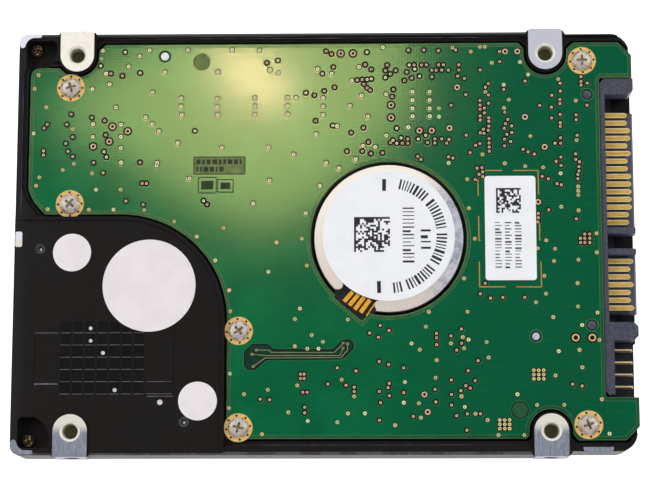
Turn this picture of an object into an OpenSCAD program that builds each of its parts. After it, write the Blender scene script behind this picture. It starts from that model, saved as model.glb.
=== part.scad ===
// 2.5 inch hard disk drive, 9.5 mm high, lying on its cover with the circuit board up.
// The origin is the centre of the face that it rests on. +X points to the connector end, +Y across
// the drive, +Z up through the circuit board. All sizes are in millimetres.

/* [Envelope] */
// Distance from the centre to the closed end of the base casting
end_x = 50.1; // [49.9:0.05:50.2]
// Distance from the centre to the connector end wall of the base casting
plug_end_x = 49.8; // [49.6:0.05:50]
// Half of the width of the base casting between its side walls
side_y = 34.6; // [34.5:0.05:34.7]
// Half of the width across the machined faces of the four side mounting lugs
lug_y = 34.925; // [34.9:0.005:34.95]
// Height of the machined faces of the four bottom mounting lugs
height = 9.5; // [9.4:0.05:9.6]
// Height of the black rim round the circuit board
rim_z = 9.0; // [8.8:0.05:9.1]
// Height of the raised black floor over the voice coil motor
deck_z = 9.15; // [9.1:0.05:9.25]
// Corner radius at the closed end
corner_closed = 1.6; // [1:0.1:2]
// Corner radius at the connector end
corner_plug = 3.0; // [2.5:0.1:3.2]

/* [Mounting holes] */
// Place of the mounting hole pair at the closed end, along X
hole_x_closed = -40.5; // [-40.6:0.05:-40.4]
// Place of the mounting hole pair at the connector end, along X
hole_x_plug = 36.1; // [36:0.05:36.2]
// Distance of the bottom mounting holes from the centre line
hole_y = 30.86; // [30.8:0.01:30.9]
// Height of the side mounting holes over the resting face
side_hole_z = 6.5; // [6.4:0.05:6.6]
// Radius of the M3 tapped bores
tap_r = 1.25; // [1.2:0.01:1.3]
// Depth of the bottom mounting holes
tap_depth = 3.0; // [2.5:0.1:3]
// Depth of the side mounting holes
side_tap_depth = 2.4; // [2:0.1:2.5]

/* [Circuit board] */
// Height of the upper face of the circuit board
pcb_z = 8.7; // [8.6:0.05:8.8]
// Thickness of the circuit board
pcb_t = 0.8; // [0.7:0.05:0.8]
// Gap between the circuit board and the wall of its bay
pcb_gap = 0.35; // [0.3:0.05:0.4]

/* [Disks] */
// Spindle axis, along X
spindle_x = 10.43; // [10.4:0.01:10.46]
// Spindle axis, along Y
spindle_y = 0.33; // [0.3:0.01:0.36]
// Outer radius of a disk
disk_r = 32.5; // [32.3:0.05:32.5]
// Thickness of a disk
disk_t = 0.635; // [0.6:0.005:0.635]
// Height of the lower face of the first disk
disk_z1 = 1.75; // [1.75:0.01:1.76]
// Height of the lower face of the second disk
disk_z2 = 3.985; // [3.985:0.001:3.99]

/* [Actuator] */
// Pivot axis, along X
pivot_x = -28.2; // [-28.25:0.01:-28.15]
// Pivot axis, along Y
pivot_y = -7.36; // [-7.4:0.01:-7.32]
// Direction of the arms when they are parked on the ramp, in degrees from +X
park_angle = 67.3; // [67:0.1:67.6]
// Distance from the pivot to the read and write gap of the heads
head_reach = 33.0; // [32.9:0.05:33.1]

/* [Hidden] */
$fn = 72;

spindle = [spindle_x, spindle_y];
pivot = [pivot_x, pivot_y];
far = 60;            // coordinate beyond every edge of the drive

// Heights
cover_z = 0.1;       // lower face of the cover
cover_top = 0.6;
base_z = 0.9;        // lower rim of the base casting
floor_lo = 5.6;      // ceiling of the disk chamber
floor_hi = 6.6;      // floor of the circuit board bay
vcm_ceiling = 8.0;   // ceiling of the voice coil motor chamber
pad_z = 9.35;        // top of the small pads on the rim
pcb_b = pcb_z - pcb_t;
label_t = 0.08;      // thickness of the upper labels and seals

// Places that several pieces share
board_screws = [ // x, y
    [-41.53, 25.52], [-41.33, 6.16], [42.09, 29.69],
    [-13.73, -14.69], [-13.7, -30.25], [42.03, -29.87]
];
cover_screw_at = [ // x, y, height that the tip reaches
    [-47.5, 32.2, 7.6], [-47.5, -32.2, 7.6], [46.4, 31.0, 5.4], [46.4, -31.0, 5.4],
    [-20.0, 31.0, 5.4], [-9.5, -31.2, 5.4], [pivot_x, pivot_y, 3.5]
];
small_seals = [[-40.74, -1.93, 3.08], [-20.19, -26.02, 3.1]]; // x, y, radius
breather_at = [-34, 20];
breather_hole_r = 0.5;
ramp_screw_at = [-21.5, 26.1];
housing_pegs = [[42.85, 24.03], [42.87, -13.9]]; // pegs of the connector in the board
head_plug_x = [-40.0, -36.0];
head_plug_y = [7.6, 10.2];

// Colours that several nodes share
black_plastic = [0.1, 0.1, 0.11];
gold = [0.86, 0.7, 0.34];
copper = [0.75, 0.42, 0.2];
steel = [0.75, 0.76, 0.78];
warm_steel = [0.75, 0.73, 0.7];
dark_steel = [0.6, 0.6, 0.62];
yoke_grey = [0.72, 0.72, 0.74];
magnet_grey = [0.6, 0.6, 0.64];
disk_silver = [0.86, 0.87, 0.9];
seal_white = [0.95, 0.93, 0.93];
label_white = [0.95, 0.95, 0.96];
filter_white = [0.93, 0.93, 0.9];

// ---------- shared shapes ----------

module at(place) translate([place[0], place[1], 0]) children();
module slab(bottom, top) translate([0, 0, bottom]) linear_extrude(top - bottom) children();
module rod(radius, bottom, top)
    translate([0, 0, bottom]) cylinder(r = radius, h = top - bottom);
module block(x0, x1, y0, y1, z0, z1)
    translate([x0, y0, z0]) cube([x1 - x0, y1 - y0, z1 - z0]);
module rect(x0, x1, y0, y1) translate([x0, y0]) square([x1 - x0, y1 - y0]);

module ring(outer, inner, bottom, top) slab(bottom, top) difference() {
    circle(outer);
    circle(inner);
}

module rounded(x0, x1, y0, y1, radius) {
    rect(x0 + radius, x1 - radius, y0, y1);
    rect(x0, x1, y0 + radius, y1 - radius);
    for (x = [x0 + radius, x1 - radius], y = [y0 + radius, y1 - radius])
        translate([x, y]) circle(radius);
}

// Part of a flat ring between two angles that are less than 180 degrees apart
module sector(inner, outer, start, end) intersection() {
    difference() {
        circle(outer);
        circle(inner);
    }
    polygon(concat([[0, 0]], [
        for (i = [0:4]) let (angle = start + (end - start) * i / 4)
            2 * outer * [cos(angle), sin(angle)]
    ]));
}

// Cuts a straight corner off the corner at (x, y); sign_x and sign_y point outward
module cut_corner(x, y, sign_x, sign_y, size) polygon([
    [x + sign_x, y + sign_y], [x - sign_x * size, y + sign_y], [x - sign_x * size, y],
    [x, y - sign_y * size], [x + sign_x, y - sign_y * size]
]);

// Fills the inner corner at (x, y) with a fillet; sign_x and sign_y point into the open side
module fillet(x, y, sign_x, sign_y, radius) difference() {
    translate([x + sign_x * (radius - 0.1) / 2, y + sign_y * (radius - 0.1) / 2])
        square(radius + 0.1, center = true);
    translate([x + sign_x * radius, y + sign_y * radius]) circle(radius);
}

// Repeats its children, drawn on the +Y side, on the -Y side
module both_sides() for (side = [0, 1]) mirror([0, side, 0]) children();

// Repeats its children, drawn at x = 0 on the +Y side, at the four mounting lugs
module at_lugs() for (x = [hole_x_closed, hole_x_plug]) translate([x, 0, 0])
    both_sides() children();

// Screw head with a six-pointed recess in its lower face
module star_head(radius, bottom, top) difference() {
    rod(radius, bottom, top);
    for (angle = [0, 60, 120]) rotate(angle)
        translate([-0.62 * radius, -0.17 * radius, bottom - 1])
            cube([1.24 * radius, 0.34 * radius, 1 + 0.6 * (top - bottom)]);
}

// ---------- shared plans ----------

// Outline of the base casting
module outline(grow = 0) {
    rounded(-end_x - grow, 5, -side_y - grow, side_y + grow, corner_closed);
    rounded(-10, 39.4 + grow, -side_y - grow, side_y + grow, 0.5);
    rounded(20, plug_end_x + grow, -side_y + 0.5 - grow, side_y - 0.5 + grow, corner_plug);
}

// Area over the voice coil motor that the circuit board leaves free
vcm_zone_at = [-33, -13];
vcm_zone_r = 17.4;
vcm_zone_x = vcm_zone_at[0] + vcm_zone_r;
vcm_zone_y = vcm_zone_at[1] + vcm_zone_r;
module vcm_zone(shrink = 0) {
    rect(-far, vcm_zone_at[0], -far, vcm_zone_y - shrink);
    rect(-far, vcm_zone_x - shrink, -far, vcm_zone_at[1]);
    translate(vcm_zone_at) circle(vcm_zone_r - shrink);
}

// Circuit board edges: the main part, and the end tabs beside the connector
board_x = [-48.15, 44.8];
board_y = [-32.05, 32.75];
tab_x = 50.15;
tab_outer_y = -32.35;
tab_inner_y = [-25.5, 26.87];
lug_notch_r = 3.5;
board_cuts = [ // x, y, outward signs along x and y, size of the cut
    [hole_x_closed + lug_notch_r, board_y[1], -1, 1, 1.1],
    [hole_x_plug - lug_notch_r, board_y[1], 1, 1, 0.9],
    [hole_x_plug + lug_notch_r, board_y[1], -1, 1, 1.1],
    [hole_x_plug - lug_notch_r, board_y[0], 1, -1, 0.5],
    [hole_x_plug + lug_notch_r, tab_outer_y, -1, -1, 0.9],
    [tab_x, board_y[1], 1, 1, 2.15],
    [tab_x, tab_outer_y, 1, -1, 2.2],
    [vcm_zone_x, board_y[0], -1, -1, 0.9]
];

// Outline of the circuit board without its lug notches and holes
module pcb_outer(grow = 0) difference() {
    union() {
        rect(board_x[0] - grow, board_x[1] + grow, board_y[0] - grow, board_y[1] + grow);
        rect(39, tab_x + grow, tab_inner_y[1] - grow, board_y[1] + grow);
        rect(37, tab_x + grow, tab_outer_y - grow, tab_inner_y[0] + grow);
        fillet(board_x[1] + grow, tab_inner_y[1] - grow, 1, -1, 0.55);
        fillet(board_x[1] + grow, tab_inner_y[0] + grow, 1, 1, 0.45);
    }
    vcm_zone(grow);
    // Stepped and rounded corner at the closed end, +Y side
    rect(-far, -42, 28.85 + grow, far);
    difference() {
        rect(-far, -46.75, 27.45, far);
        translate([-46.75, 27.45]) circle(1.4 + grow);
    }
    // Slanted edge next to the motor zone
    polygon([
        [-far, 2], [-45.35 - 0.4 * grow, 2], [-45.35 - 0.4 * grow, vcm_zone_y - grow],
        [-47.22 - 0.8 * grow, 6.5 - 0.3 * grow], [board_x[0] - grow, 8.6], [-far, 8.6]
    ]);
    for (cut = board_cuts)
        cut_corner(cut[0] + cut[2] * grow, cut[1] + cut[3] * grow, cut[2], cut[3], cut[4]);
}

module lug_notches(radius) at_lugs() {
    translate([0, hole_y]) circle(radius);
    translate([0, hole_y + 10]) square([2 * radius, 20], center = true);
}

// Notch in the round opening of the board, at the spindle motor connector
module motor_notch(grow = 0) polygon([
    [1.56 - 1.2 * grow, -9.33 - 0.3 * grow], [6.1 - 0.2 * grow, -13.17 - 1.2 * grow],
    [7.05 + 0.9 * grow, -12.12 - 0.8 * grow], [5.5, -7.5], [3, -7]
]);

// Plan of the chamber for the disks and the actuator
chamber_r = disk_r + 0.4;
chamber_y = [-32.9, 27.6];
module chamber(grow = 0) difference() {
    union() {
        at(spindle) circle(chamber_r + grow);
        rect(-48.2 - grow, -14 + grow, chamber_y[0] - grow, chamber_y[1] + grow);
        rect(-20, -9 + grow, 0, chamber_y[1] + grow);
    }
    rect(-far, -37 - grow, -far, -27.2 - grow);
}

// ---------- base casting ----------

motor_seat_r = 11.0; // opening for the spindle motor
plug_play = 0.05;    // gap round the head connector

// Plan of a mounting lug on the +Y side, with rounded outer corners
module lug_plan(half_width, outer_y) {
    corner = 0.45;
    translate([0, hole_y]) circle(half_width);
    rect(-half_width, half_width, hole_y, outer_y - corner);
    rect(-half_width + corner, half_width - corner, hole_y, outer_y);
    for (side = [-1, 1])
        translate([side * (half_width - corner), outer_y - corner]) circle(corner);
}

// Deep corner pocket over a long cover screw, for the +Y corner
module pocket_plan() intersection() {
    rounded(-48.95, -43.9, 28.5, 33.45, 0.8);
    translate([-47.9, 32.4]) circle(4.2);
}

module rim_pads() slab(rim_z - 0.5, pad_z) {
    // Machined pads at the two closed corners
    both_sides() {
        intersection() {
            outline(-0.1);
            rect(-far, -46.7, 32.6, far);
            difference() {
                rect(-far, 0, -far, far);
                rounded(-49.05, 0, 0, 33.85, 1.5);
            }
        }
        translate([-49.52, 32.6]) circle(0.45);
        translate([-46.7, 34.17]) circle(0.32);
    }
    rounded(-49.95, -48.85, -1.0, 1.5, 0.3);
    rounded(41.1, 45.85, -34.08, -33.0, 0.35);
}

module casting_blank() {
    slab(base_z, rim_z) outline();
    slab(rim_z - 0.5, deck_z) intersection() {
        outline();
        vcm_zone(pcb_gap + 0.1);
    }
    // Lip under the connector
    slab(base_z, 3.4) {
        rounded(45, 50.35, -16.4, 27.9, 0.4);
        rounded(45, 50.0, -26.5, -10, 0.4);
    }
    // Narrow wall that follows the edge of the circuit board
    slab(deck_z - 0.5, deck_z + 0.2) intersection() {
        outline(-0.3);
        difference() {
            vcm_zone(pcb_gap + 0.1);
            vcm_zone(pcb_gap + 0.6);
        }
    }
    rim_pads();
}

module casting_body() difference() {
    casting_blank();
    // Bay for the circuit board, with the end rib left standing under the board's end tabs
    difference() {
        slab(floor_hi, 20) pcb_outer(pcb_gap);
        block(48.7, plug_end_x, -40, 40, 0, pcb_b);
    }
    // Ledge on the inner side of the rim
    slab(rim_z - 0.55, 20) difference() {
        pcb_outer(pcb_gap + 0.75);
        vcm_zone(0.3);
    }
    // Bevel along the two long upper edges
    for (side = [-1, 1]) translate([0, side * side_y, rim_z]) rotate([45, 0, 0])
        cube([120, 0.62, 0.62], center = true);
    both_sides() slab(6.9, 20) pocket_plan();
}

// Bottom mounting holes with countersunk mouths, and side mounting holes
module mounting_holes() at_lugs() {
    sink = 0.4;
    translate([0, hole_y, 0]) {
        rod(tap_r, height - tap_depth, height + 1);
        translate([0, 0, height - sink]) cylinder(r1 = tap_r, r2 = tap_r + sink, h = sink);
    }
    translate([0, lug_y, side_hole_z]) rotate([90, 0, 0]) rod(tap_r, -1, side_tap_depth);
}

module casting_screw_holes() {
    for (place = board_screws) at(place) rod(0.8, 5.95, 10);
    for (screw = cover_screw_at) at(screw) {
        rod(2.0, 0, 1.25);
        rod(0.95, 1, screw[2] > 7 ? 8.5 : 5.5);
    }
    at(pivot) {
        rod(1.0, 7, 10);
        rod(2.6, 8.5, 10);
    }
    at(ramp_screw_at) rod(0.6, 5, 6.35);
}

module base_casting() color([0.12, 0.12, 0.13]) difference() {
    union() {
        casting_body();
        at_lugs() {
            slab(3.6, height - 0.45) lug_plan(3.1, lug_y - 0.12);
            slab(3.6, height) lug_plan(2.75, lug_y);
        }
        for (place = board_screws) at(place) rod(2.2, floor_hi - 0.2, pcb_b);
    }
    // Disk and actuator chamber
    slab(0, floor_lo) chamber();
    slab(floor_lo - 0.1, vcm_ceiling) intersection() {
        chamber();
        vcm_zone(1.6);
    }
    at(spindle) rod(motor_seat_r, 5, 7);
    // Connector opening
    block(44.6, far, -25.8, 27.2, 3.4, 20);
    mounting_holes();
    casting_screw_holes();
    // Relief in the bay floor under the crystal
    block(34, 40, -2.5, 6, 6.3, 7);
    // Passage for the head connector
    block(head_plug_x[0] - plug_play, head_plug_x[1] + plug_play,
        head_plug_y[0] - plug_play, head_plug_y[1] + plug_play, 5, 8);
    // Ports that the two small seals close
    for (seal = small_seals) at(seal) rod(1.5, 7, 10);
    // Blind witness pits
    for (place = [[-45.9, -1.3], [-22.35, -29.37]]) at(place) rod(0.7, 8.7, 10);
}

// ---------- cover and seals ----------

module top_cover() color([0.78, 0.79, 0.8]) difference() {
    union() {
        slab(cover_z, cover_top) outline(-0.15);
        for (screw = cover_screw_at) at(screw) rod(1.95, 0.3, 1.2);
    }
    for (screw = cover_screw_at) at(screw) {
        rod(1.6, 0, 0.7);
        rod(0.98, 0, 2);
    }
    at(breather_at) rod(breather_hole_r, 0, 2);
    // Shallow ring groove under the disks
    at(spindle) ring(25.2, 24.6, 0, 0.18);
}

module cover_gasket() color([0.1, 0.1, 0.1]) slab(cover_top, base_z) difference() {
    intersection() {
        chamber(1.9);
        outline(-0.5);
    }
    chamber(0.2);
    for (screw = cover_screw_at) at(screw) circle(2.15);
}

module cover_label() color([0.95, 0.95, 0.95]) slab(0, cover_z) difference() {
    rounded(-45.5, 45.5, -28.4, 28.4, 2);
    at(breather_at) circle(1.5);
}

module cover_screws() color([0.82, 0.68, 0.38]) for (screw = cover_screw_at) at(screw) {
    star_head(1.5, 0.15, 0.7);
    rod(0.9, 0.65, screw[2]);
}

module seal_disc_large() color(seal_white) at(pivot) rod(7.5, deck_z, deck_z + label_t);

module seal_discs_small() color(seal_white)
    for (seal = small_seals) at(seal) rod(seal[2], deck_z, deck_z + label_t);

// ---------- circuit board ----------

board_holes = [ // x, y, radius
    [33.9, -15.68, 0.95], [-26.16, 30.75, 0.95], [40.24, -15.92, 0.62], [42.88, -15.93, 0.62]
];

module pcb() color([0.08, 0.45, 0.27]) slab(pcb_b, pcb_z) difference() {
    pcb_outer();
    lug_notches(lug_notch_r);
    at(spindle) circle(12.65);
    motor_notch();
    for (place = board_screws) at(place) circle(0.9);
    for (place = housing_pegs) at(place) circle(0.95);
    for (hole = board_holes) at(hole) circle(hole[2]);
}

module pcb_label() color(label_white)
    slab(pcb_z, pcb_z + label_t) rounded(25.97, 34.2, -6.6, 10.5, 0.5);

// Screws with domed heads and cross recesses, each turned differently
module pcb_screws() color(warm_steel) for (i = [0:5]) at(board_screws[i]) rotate(17 + 37 * i) {
    difference() {
        intersection() {
            rod(1.63, pcb_z, 10);
            translate([0, 0, 6.03]) sphere(r = 3.3);
        }
        for (angle = [0, 90]) rotate(angle) translate([-0.85, -0.19, 8.95]) cube([1.7, 0.38, 1]);
        rod(0.36, 8.9, 10);
    }
    rod(0.76, 6.0, pcb_z + 0.1);
}

module insulator_sheet() color([0.25, 0.25, 0.27]) slab(floor_hi, floor_hi + 0.2) difference() {
    pcb_outer(-0.7);
    lug_notches(4.2);
    for (place = board_screws) at(place) circle(2.5);
    at(spindle) circle(12.4);
    // Cut-outs at the drive connector, the head connector and the connector end
    rect(41.0, far, -26.2, 27.6);
    rect(-41.5, -35, 6.5, 11.5);
    rect(48, far, -far, far);
}

// Component centred on (x, y) that hangs from the lower face of the board
module chip(x, y, size_x, size_y, thick) block(x - size_x / 2, x + size_x / 2,
    y - size_y / 2, y + size_y / 2, pcb_b - thick, pcb_b);

module main_controller() color(black_plastic) chip(29, 14, 13, 13, 1.0);
module memory_chip() color(black_plastic) chip(29.5, -8, 8, 11, 0.9);
module motor_driver() color(black_plastic) chip(0, -24, 7, 7, 0.85);

module capacitors() color([0.6, 0.5, 0.38]) {
    for (i = [0:4]) chip(24 + 2.6 * i, 23.6, 1.0, 1.8, 0.6);
    for (i = [0:3]) chip(-8 + 2.2 * i, -17.5, 1.8, 1.0, 0.6);
    chip(7.5, -27, 3.2, 1.6, 1.0);
    chip(-30, 12, 1.6, 3.2, 1.0);
}

module inductors() color([0.35, 0.35, 0.36]) for (x = [14, 19]) chip(x, -24, 3, 3, 1.0);
module crystal() color(steel) chip(37.5, 3, 2.5, 2.0, 0.6);

// ---------- connector ----------

housing_back = 44.9;     // face towards the drive
housing_wall = 45.6;     // where the parts that stand out begin
housing_front = 50.35;   // mating edge
housing_y = [-25.4, 26.75];
housing_z = [4.2, 8.4];
tongue_z = [5.4, 6.6];
contact_back = 45.72;
contact_pitch = 1.27;
contact_half_width = 0.41;
contact_tip_r = 0.26;
power_y = 20.93;         // first power contact; the rows run towards -Y
signal_y = -3.25;        // first signal contact
power_long = [0, 0, 1, 1, 0, 1, 0, 0, 1, 1, 1, 1, 1, 0, 0]; // 1 for a long contact
signal_long = [1, 0, 0, 1, 0, 0, 1];
pin_y = -17.75;          // first jumper pin
pin_pitch = 1.97;
pin_half_width = 0.21;
pin_z = [5.98, 6.4];

// Part of the housing that stands out from its wall over its full height
module housing_part(x1, y0, y1) block(housing_wall, x1, y0, y1, housing_z[0], housing_z[1]);

// Part of the tongue that carries the contacts
module tongue_part(x1, y0, y1, top = tongue_z[1])
    block(housing_wall, x1, y0, y1, tongue_z[0], top);

module sata_housing() color([0.3, 0.3, 0.35]) difference() {
    union() {
        block(housing_back, 45.7, housing_y[0], housing_y[1], housing_z[0], housing_z[1]);
        block(41.6, 44.95, -15, 25.5, 6.9, pcb_b);
        // Guide blocks
        housing_part(housing_front, 24.1, housing_y[1]);
        housing_part(housing_front, -16.28, -13.38);
        // Power and signal tongues, each with a raised key at one end
        tongue_part(housing_front, 1.11, 21.3);
        tongue_part(housing_front, -11.9, -1.35);
        tongue_part(50.3, 1.11, 2.1, 7.9);
        tongue_part(50.3, -2.3, -1.35, 7.9);
        // Wall and shelf at the jumper pins
        housing_part(46.4, -25.0, -16.28);
        block(46.3, 49.6, housing_y[0], -16.28, housing_z[0], 4.8);
        block(housing_wall, 47.0, housing_y[0], housing_y[1], housing_z[0], 5.0);
        for (place = housing_pegs) at(place) rod(0.8, 7.5, 8.6);
    }
    // Chamfered noses of the two guide blocks
    for (nose = [[24.1, -1], [-13.38, 1], [-16.28, -1]]) // y, outward sign
        slab(0, 20) cut_corner(housing_front, nose[0], 1, nose[1], 0.7);
    // Lead-in chamfers along the mating edge of the tongue
    for (z = tongue_z) translate([housing_front, 0, z]) rotate([0, 45, 0])
        translate([-0.2, -11.95, -0.2]) cube([0.4, 33.3, 0.4]);
    slab(0, 20) cut_corner(housing_back, housing_y[0], -1, -1, 0.9);
    slab(0, 20) cut_corner(housing_back, housing_y[1], -1, 1, 0.75);
}

// One contact strip on the tongue, ending at tip_x with rounded corners
module contact(tip_x, y) slab(tongue_z[1], tongue_z[1] + 0.08) {
    tip_y = contact_half_width - contact_tip_r;
    rect(contact_back, tip_x - contact_tip_r, y - contact_half_width, y + contact_half_width);
    rect(contact_back, tip_x, y - tip_y, y + tip_y);
    for (side = [-1, 1])
        translate([tip_x - contact_tip_r, y + tip_y * side]) circle(contact_tip_r);
}

module contact_row(first_y, long_flags) for (i = [0:len(long_flags) - 1])
    contact(long_flags[i] ? 49.85 : 49.35, first_y - contact_pitch * i);

module power_contacts() color(gold) contact_row(power_y, power_long);
module signal_contacts() color(gold) contact_row(signal_y, signal_long);

// Square pins with a chamfer on the upper edge of the tip
module jumper_pins() color(gold) for (i = [0:3]) translate([0, pin_y - pin_pitch * i, 0])
    difference() {
        block(46.4, 49.5, -pin_half_width, pin_half_width, pin_z[0], pin_z[1]);
        translate([49.5, 0, pin_z[1]]) rotate([0, 45, 0]) cube([0.3, 1, 0.3], center = true);
    }

// ---------- spindle motor ----------

motor_top = 8.9;
motor_base_r = 12.0;
motor_wall_r = 10.6;         // inner radius of the motor base wall
bearing_r = 3.4;
shaft_r = 1.95;
shaft_top = 8.5;
motor_plug_z = [8.3, 8.6];   // motor connector
teeth = 9;
tooth_step = 360 / teeth;

// Opening in the motor base for the motor connector
module motor_gap(grow = 0) difference() {
    polygon([
        [2.6 - grow, -6.4 + grow], [1.0 - grow, -9.6], [5.5, -13.8 - grow],
        [8.0 + grow, -12.8 - grow], [8.85 + grow, -9.2 + grow]
    ]);
    for (place = [[8.85, -10.6], [2.25, -7.25]]) translate(place) circle(0.75 - grow);
}

module motor_base() color([0.8, 0.8, 0.82]) difference() {
    at(spindle) union() {
        ring(motor_base_r, bearing_r, 8.1, motor_top);
        ring(motor_base_r, motor_wall_r, floor_hi, 8.15);
        ring(motor_seat_r, motor_wall_r, floor_lo, floor_hi + 0.05);
        ring(4.0, bearing_r, 6.0, 8.15);
    }
    slab(motor_plug_z[0], 10) motor_gap();
}

module spindle_label() color(label_white)
    at([10.4, 0.75]) rod(10.7, motor_top, motor_top + label_t);

module motor_connector() color([0.08, 0.08, 0.09])
    slab(motor_plug_z[0], motor_plug_z[1]) intersection() {
        motor_gap(-0.08);
        union() {
            at(spindle) circle(12.5);
            motor_notch(-0.1);
        }
    }

// Four wide contacts and a narrow one, fanned out slightly
module motor_contacts() color([0.9, 0.68, 0.25]) for (i = [0:4]) {
    half_width = i < 4 ? 0.34 : 0.1;
    translate([4.67 + 0.9 * i, -8.3 - 0.46 * i, motor_plug_z[1]]) rotate(-130.6 + 1.5 * i)
        translate([i == 0 ? 0.15 : 0.05, -half_width, 0])
            cube([2.1 + 0.22 * min(i, 2), 2 * half_width, 0.12]);
}

module stator_core() color([0.5, 0.5, 0.52]) at(spindle) slab(6.1, 7.3) {
    difference() {
        circle(5.0);
        circle(4.0);
    }
    for (i = [0:teeth - 1]) rotate(tooth_step * i) {
        rect(4.9, 8.0, -0.55, 0.55);
        sector(7.9, 8.6, -15, 15);
    }
}

module stator_coils() color(copper)
    at(spindle) for (i = [0:teeth - 1]) rotate(tooth_step * i) difference() {
        block(5.3, 7.6, -1.15, 1.15, 5.75, 7.65);
        block(5, 8, -0.56, 0.56, 6.09, 7.31);
    }

module bearing_sleeve() color([0.72, 0.7, 0.6]) at(spindle) difference() {
    rod(bearing_r, 5.0, 8.85);
    rod(2.0, 4, 8.6);
}

module spindle_shaft() color([0.85, 0.85, 0.87]) at(spindle) rod(shaft_r, 1.75, shaft_top);

// ---------- disks ----------

disk_bore_r = 10.0;
rotor_bore_r = 9.7;          // hollow of the hub that holds the magnet
clamp_z = 1.15;              // lower face of the disk clamp

// Repeats its children on the circle of the six clamp screws
module clamp_circle(start = 0)
    for (i = [0:5]) rotate(60 * i + start) translate([7, 0, 0]) children();

module spindle_hub() color([0.82, 0.82, 0.84]) at(spindle) difference() {
    union() {
        rod(9.98, disk_z1, 4.7);
        rod(12.4, disk_z2 + disk_t, 5.3);
        rod(10.2, 5.2, 7.8);
    }
    rod(rotor_bore_r, 4.9, 9);
    rod(shaft_r, 0, 9);
    clamp_circle() rod(0.6, 0, 3.6);
}

module rotor_magnet() color([0.3, 0.3, 0.32]) at(spindle) ring(rotor_bore_r, 8.9, 5.5, 7.7);

module platter(z) at(spindle) ring(disk_r, disk_bore_r, z, z + disk_t);
module platter_lower() color(disk_silver) platter(disk_z1);
module platter_upper() color(disk_silver) platter(disk_z2);
module platter_spacer() color([0.7, 0.71, 0.73])
    at(spindle) ring(12.2, disk_bore_r, disk_z1 + disk_t, disk_z2);

module disk_clamp() color(steel) at(spindle) slab(clamp_z, disk_z1) difference() {
    circle(11.4);
    circle(2.5);
    clamp_circle() circle(0.65);
    clamp_circle(30) circle(0.9);
}

module clamp_screws() color(dark_steel) at(spindle) clamp_circle() {
    star_head(1.15, 0.8, clamp_z);
    rod(0.55, 1.1, 3.4);
}

// ---------- pivot and arms ----------

pivot_shaft_r = 1.6;
sleeve_r = 4.3;
arm_z = [[0.85, 1.385], [2.75, 3.62], [4.985, 5.45]]; // bottom and top of each arm
beam_t = 0.1;
beam_z = [arm_z[0][1], arm_z[1][0] - beam_t, arm_z[1][1], arm_z[2][0] - beam_t];
slider_t = 0.22;
slider_z = [
    beam_z[0] + beam_t, beam_z[1] - slider_t, beam_z[2] + beam_t, beam_z[3] - slider_t
];
beam_edge = [ // distance from the pivot, half-width
    [22.5, 1.8], [24.5, 1.8], [31.5, 0.9], [33.8, 0.45], [35.2, 0.3]
];

// Places its children with +X along the parked arms
module parked() at(pivot) rotate(park_angle) children();

module pivot_shaft() color(steel) at(pivot) difference() {
    rod(pivot_shaft_r, 1.2, vcm_ceiling);
    rod(0.95, 1, 3.6);
    rod(1.0, 5.4, 9);
}

module pivot_bearings() color([0.6, 0.61, 0.63])
    at(pivot) for (z = [1.4, 5.4]) ring(3.45, pivot_shaft_r, z, z + 2);

module pivot_screw() color(warm_steel) at(pivot) {
    difference() {
        rod(2.4, 8.5, 9.05);
        for (angle = [0, 60, 120]) rotate(angle) translate([-1.3, -0.3, 8.75]) cube([2.6, 0.6, 1]);
    }
    rod(0.95, 5.5, 8.55);
}

module pivot_sleeve() color([0.66, 0.67, 0.69]) at(pivot) ring(sleeve_r, 3.5, 1.3, 7.6);

// Tapered arm with a tapered window
module arm_plan() difference() {
    polygon([[0, -5.5], [26, -2.2], [26, 2.2], [0, 5.5]]);
    polygon([[10, -1.9], [20.5, -1.0], [20.5, 1.0], [10, 1.9]]);
}

module e_block() color([0.72, 0.73, 0.75]) parked() difference() {
    union() {
        rod(6.0, arm_z[0][0], 7.7);
        for (z = arm_z) slab(z[0], z[1]) arm_plan();
    }
    rod(sleeve_r, 0, 9);
}

module load_beams() color([0.8, 0.8, 0.82])
    parked() for (z = beam_z) slab(z, z + beam_t) polygon(concat(
        [for (point = beam_edge) [point[0], -point[1]]],
        [for (i = [len(beam_edge) - 1:-1:0]) beam_edge[i]]
    ));

module head_sliders() color([0.25, 0.25, 0.27]) parked() for (z = slider_z)
    block(head_reach - 0.4, head_reach + 0.45, -0.35, 0.35, z, z + slider_t);

module preamp_chip() color(black_plastic)
    at(pivot) rotate(20) block(-6.55, -6.0, -0.9, 0.9, 2.0, 3.6);

// ---------- voice coil motor ----------

yoke_gap = [1.9, 6.9];       // facing sides of the two yoke plates
magnet_t = 1.2;
post_r = 1.2;

module coil_outer() sector(9.8, 18.6, 163, 197);

module voice_coil() color(copper) parked() slab(3.5, 5.3) difference() {
    coil_outer();
    sector(12.4, 16.2, 172, 188);
}

module coil_frame() color([0.2, 0.2, 0.22]) parked() slab(3.4, 5.4) difference() {
    union() {
        sector(6.0, 19.5, 160, 200);
        sector(19.0, 20.3, 197, 199);
    }
    coil_outer();
}

module yoke(bottom, top) color(yoke_grey) at(pivot) slab(bottom, top) sector(9.5, 19.8, 178, 282);
module yoke_upper() yoke(yoke_gap[1], vcm_ceiling);
module yoke_lower() yoke(0.9, yoke_gap[0]);

module magnet(bottom) color(magnet_grey)
    at(pivot) slab(bottom, bottom + magnet_t) sector(10, 19, 195, 265);
module magnet_upper() magnet(yoke_gap[1] - magnet_t);
module magnet_lower() magnet(yoke_gap[0]);

module at_posts() at(pivot) for (angle = [184, 276]) rotate(angle)
    translate([15, 0, 0]) children();
module yoke_posts() color(steel) at_posts() rod(post_r, yoke_gap[0], yoke_gap[1]);
module crash_stops() color([0.12, 0.12, 0.12]) at_posts() ring(1.6, post_r, 3.4, 5.4);

// ---------- latch and ramp ----------

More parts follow.
